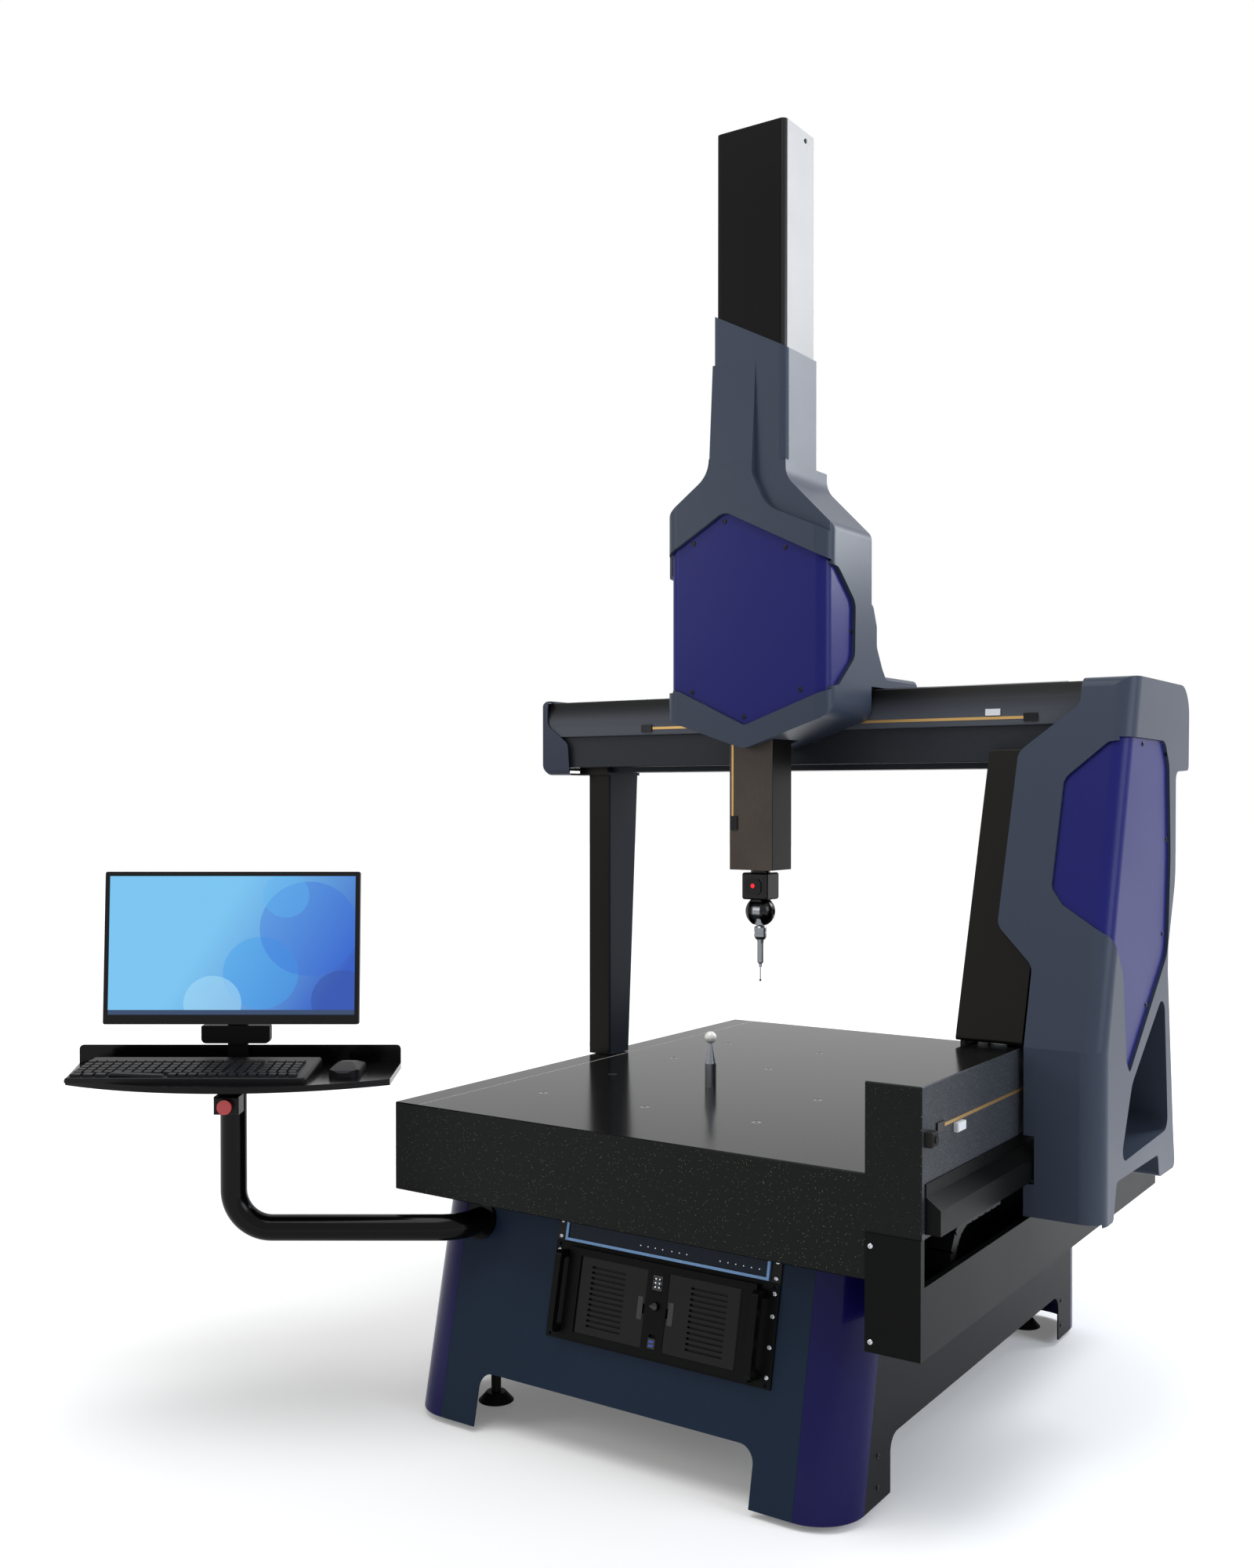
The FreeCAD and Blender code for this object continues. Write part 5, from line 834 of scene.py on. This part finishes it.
# Lamps by name, place, width, height, power in watts and colour; all aim at the machine.
LAMPS = (("Right", (5.0, 0.2, 2.6), 2.4, 2.4, 110.0, (0.80, 0.88, 1.0)),
         ("Top", (-0.4, -1.6, 5.2), 3.2, 3.2, 130.0, (1.0, 1.0, 1.0)),
         ("Left", (-3.6, -4.2, 3.0), 2.2, 2.2, 60.0, (1.0, 0.99, 0.97)),
         ("Sheen", (1.75, 2.3, 2.95), 1.0, 1.9, 80.0, (0.93, 0.96, 1.0)))
LAMP_TARGET = Vector((0.3, 0.0, 1.4))
FLOOR_HALF = 30.0
FLOOR_DROP = 0.0005          # keeps the floor just clear of the feet
FAR_LIFT = 0.8               # the floor's extra brightness far from the machine
CAMERA_PLACE = (2080.6, -2242.6, 1230.0)
CAMERA_YAW, CAMERA_PITCH = math.radians(34.155), math.radians(-0.703)


def stage_floor(p):
    """Pale floor that keeps the shadow and is seen brighter away from the machine."""
    bm = bmesh.new()
    made = bmesh.ops.create_grid(bm, x_segments=1, y_segments=1, size=FLOOR_HALF)
    for v in made["verts"]:
        v.co.z = -FLOOR_DROP
    data = bpy.data.meshes.new("Floor")
    bm.to_mesh(data)
    bm.free()
    material, tree, shader, place = start("Floor")
    wash = node(tree, "ShaderNodeTexNoise", ("Vector", place), ("Scale", 0.6)).outputs[0]
    light = (*p.floor, 1.0)
    dark = (*[c * 0.985 for c in p.floor], 1.0)
    tree.links.new(mix_colour(tree, wash, light, dark), shader.inputs["Base Color"])
    shader.inputs["Roughness"].default_value = 0.7
    shader.inputs["Specular IOR Level"].default_value = 0.1
    away = node(tree, "ShaderNodeVectorMath", (0, place), operation="LENGTH")
    far = node(tree, "ShaderNodeMapRange", ("Value", away.outputs["Value"]),
               ("From Min", 1.0), ("From Max", 5.0), ("To Min", p.lift), ("To Max", FAR_LIFT))
    lift = node(tree, "ShaderNodeMath", (0, shown_rays(tree)), (1, far.outputs[0]),
                operation="MULTIPLY")
    tree.links.new(lift.outputs[0], shader.inputs["Emission Strength"])
    shader.inputs["Emission Color"].default_value = (1.0, 1.0, 1.0, 1.0)
    data.materials.append(material)
    return bpy.data.objects.new("Floor", data)


def stage_world(p):
    """White surroundings as seen, with a plain ambient light on the machine."""
    world = bpy.data.worlds.new("Studio")
    world.use_nodes = True
    tree = world.node_tree
    back = tree.nodes["Background"]
    power = node(tree, "ShaderNodeMix", (0, shown_rays(tree)), (2, p.ambient), (3, 1.0))
    back.inputs["Color"].default_value = (1.0, 1.0, 1.0, 1)
    tree.links.new(power.outputs[0], back.inputs["Strength"])
    return world


def stage_lamp(name, place, wide, high, power, tint):
    """One soft rectangular lamp, hidden from the camera."""
    data = bpy.data.lights.new(name, "AREA")
    data.shape = "RECTANGLE"
    data.size = wide
    data.size_y = high
    data.energy = power
    data.color = tint
    lamp = bpy.data.objects.new(name, data)
    lamp.visible_camera = False
    lamp.location = place
    aim = LAMP_TARGET - Vector(place)
    lamp.rotation_euler = aim.to_track_quat("-Z", "Y").to_euler()
    return lamp


def stage_camera():
    """The camera, from the right of the machine's front."""
    data = bpy.data.cameras.new("Camera")
    data.sensor_width = 36.0
    data.lens = 34.904
    data.shift_y = 0.01925
    camera = bpy.data.objects.new("Camera", data)
    camera.location = drawn(*CAMERA_PLACE)
    look = Vector((-math.sin(CAMERA_YAW) * math.cos(CAMERA_PITCH),
                   math.cos(CAMERA_YAW) * math.cos(CAMERA_PITCH), math.sin(CAMERA_PITCH)))
    camera.rotation_euler = look.to_track_quat("-Z", "Y").to_euler()
    return camera


class CMM_OT_stage(bpy.types.Operator):
    """Floor, studio lights and the camera"""
    bl_idname = "cmm.stage"
    bl_label = "Stage"

    def execute(self, context):
        p = context.scene.cmm_stage
        scene = context.scene
        scene.view_settings.view_transform = "Standard"
        scene.world = stage_world(p)
        made = [stage_floor(p)]
        for name, place, wide, high, power, tint in LAMPS:
            made.append(stage_lamp(name, place, wide, high, power * p.light, tint))
        scene.camera = stage_camera()
        made.append(scene.camera)
        for obj in made:
            scene.collection.objects.link(obj)
        return {"FINISHED"}


class CMM_PT_panel(bpy.types.Panel):
    """The machine's operators and sizes"""
    bl_idname = "CMM_PT_panel"
    bl_label = "Measuring machine"
    bl_space_type = "VIEW_3D"
    bl_region_type = "UI"
    bl_category = "Measuring machine"

    def draw(self, context):
        for cls in OPERATORS:
            self.layout.operator(cls.bl_idname)
        for name in GROUPS:
            group = getattr(context.scene, name)
            for key in group.__annotations__:
                self.layout.prop(group, key)


OPERATORS = (CMM_OT_finishes, CMM_OT_cover_screws, CMM_OT_stand_screws, CMM_OT_keys,
             CMM_OT_table_line, CMM_OT_rack_details, CMM_OT_head_details, CMM_OT_stage)
GROUPS = {"cmm_screws": ScrewSizes, "cmm_keyboard": KeyboardSizes, "cmm_line": LineSizes,
          "cmm_stage": StageColours}


def register():
    for cls in (*GROUPS.values(), *OPERATORS, CMM_PT_panel):
        bpy.utils.register_class(cls)
    for name, cls in GROUPS.items():
        setattr(bpy.types.Scene, name, PointerProperty(type=cls))


def unregister():
    for name in GROUPS:
        delattr(bpy.types.Scene, name)
    for cls in reversed((*GROUPS.values(), *OPERATORS, CMM_PT_panel)):
        bpy.utils.unregister_class(cls)


def main():
    register()
    for cls in OPERATORS:
        group, name = cls.bl_idname.split(".")
        getattr(getattr(bpy.ops, group), name)()


if __name__ == "__main__":
    main()
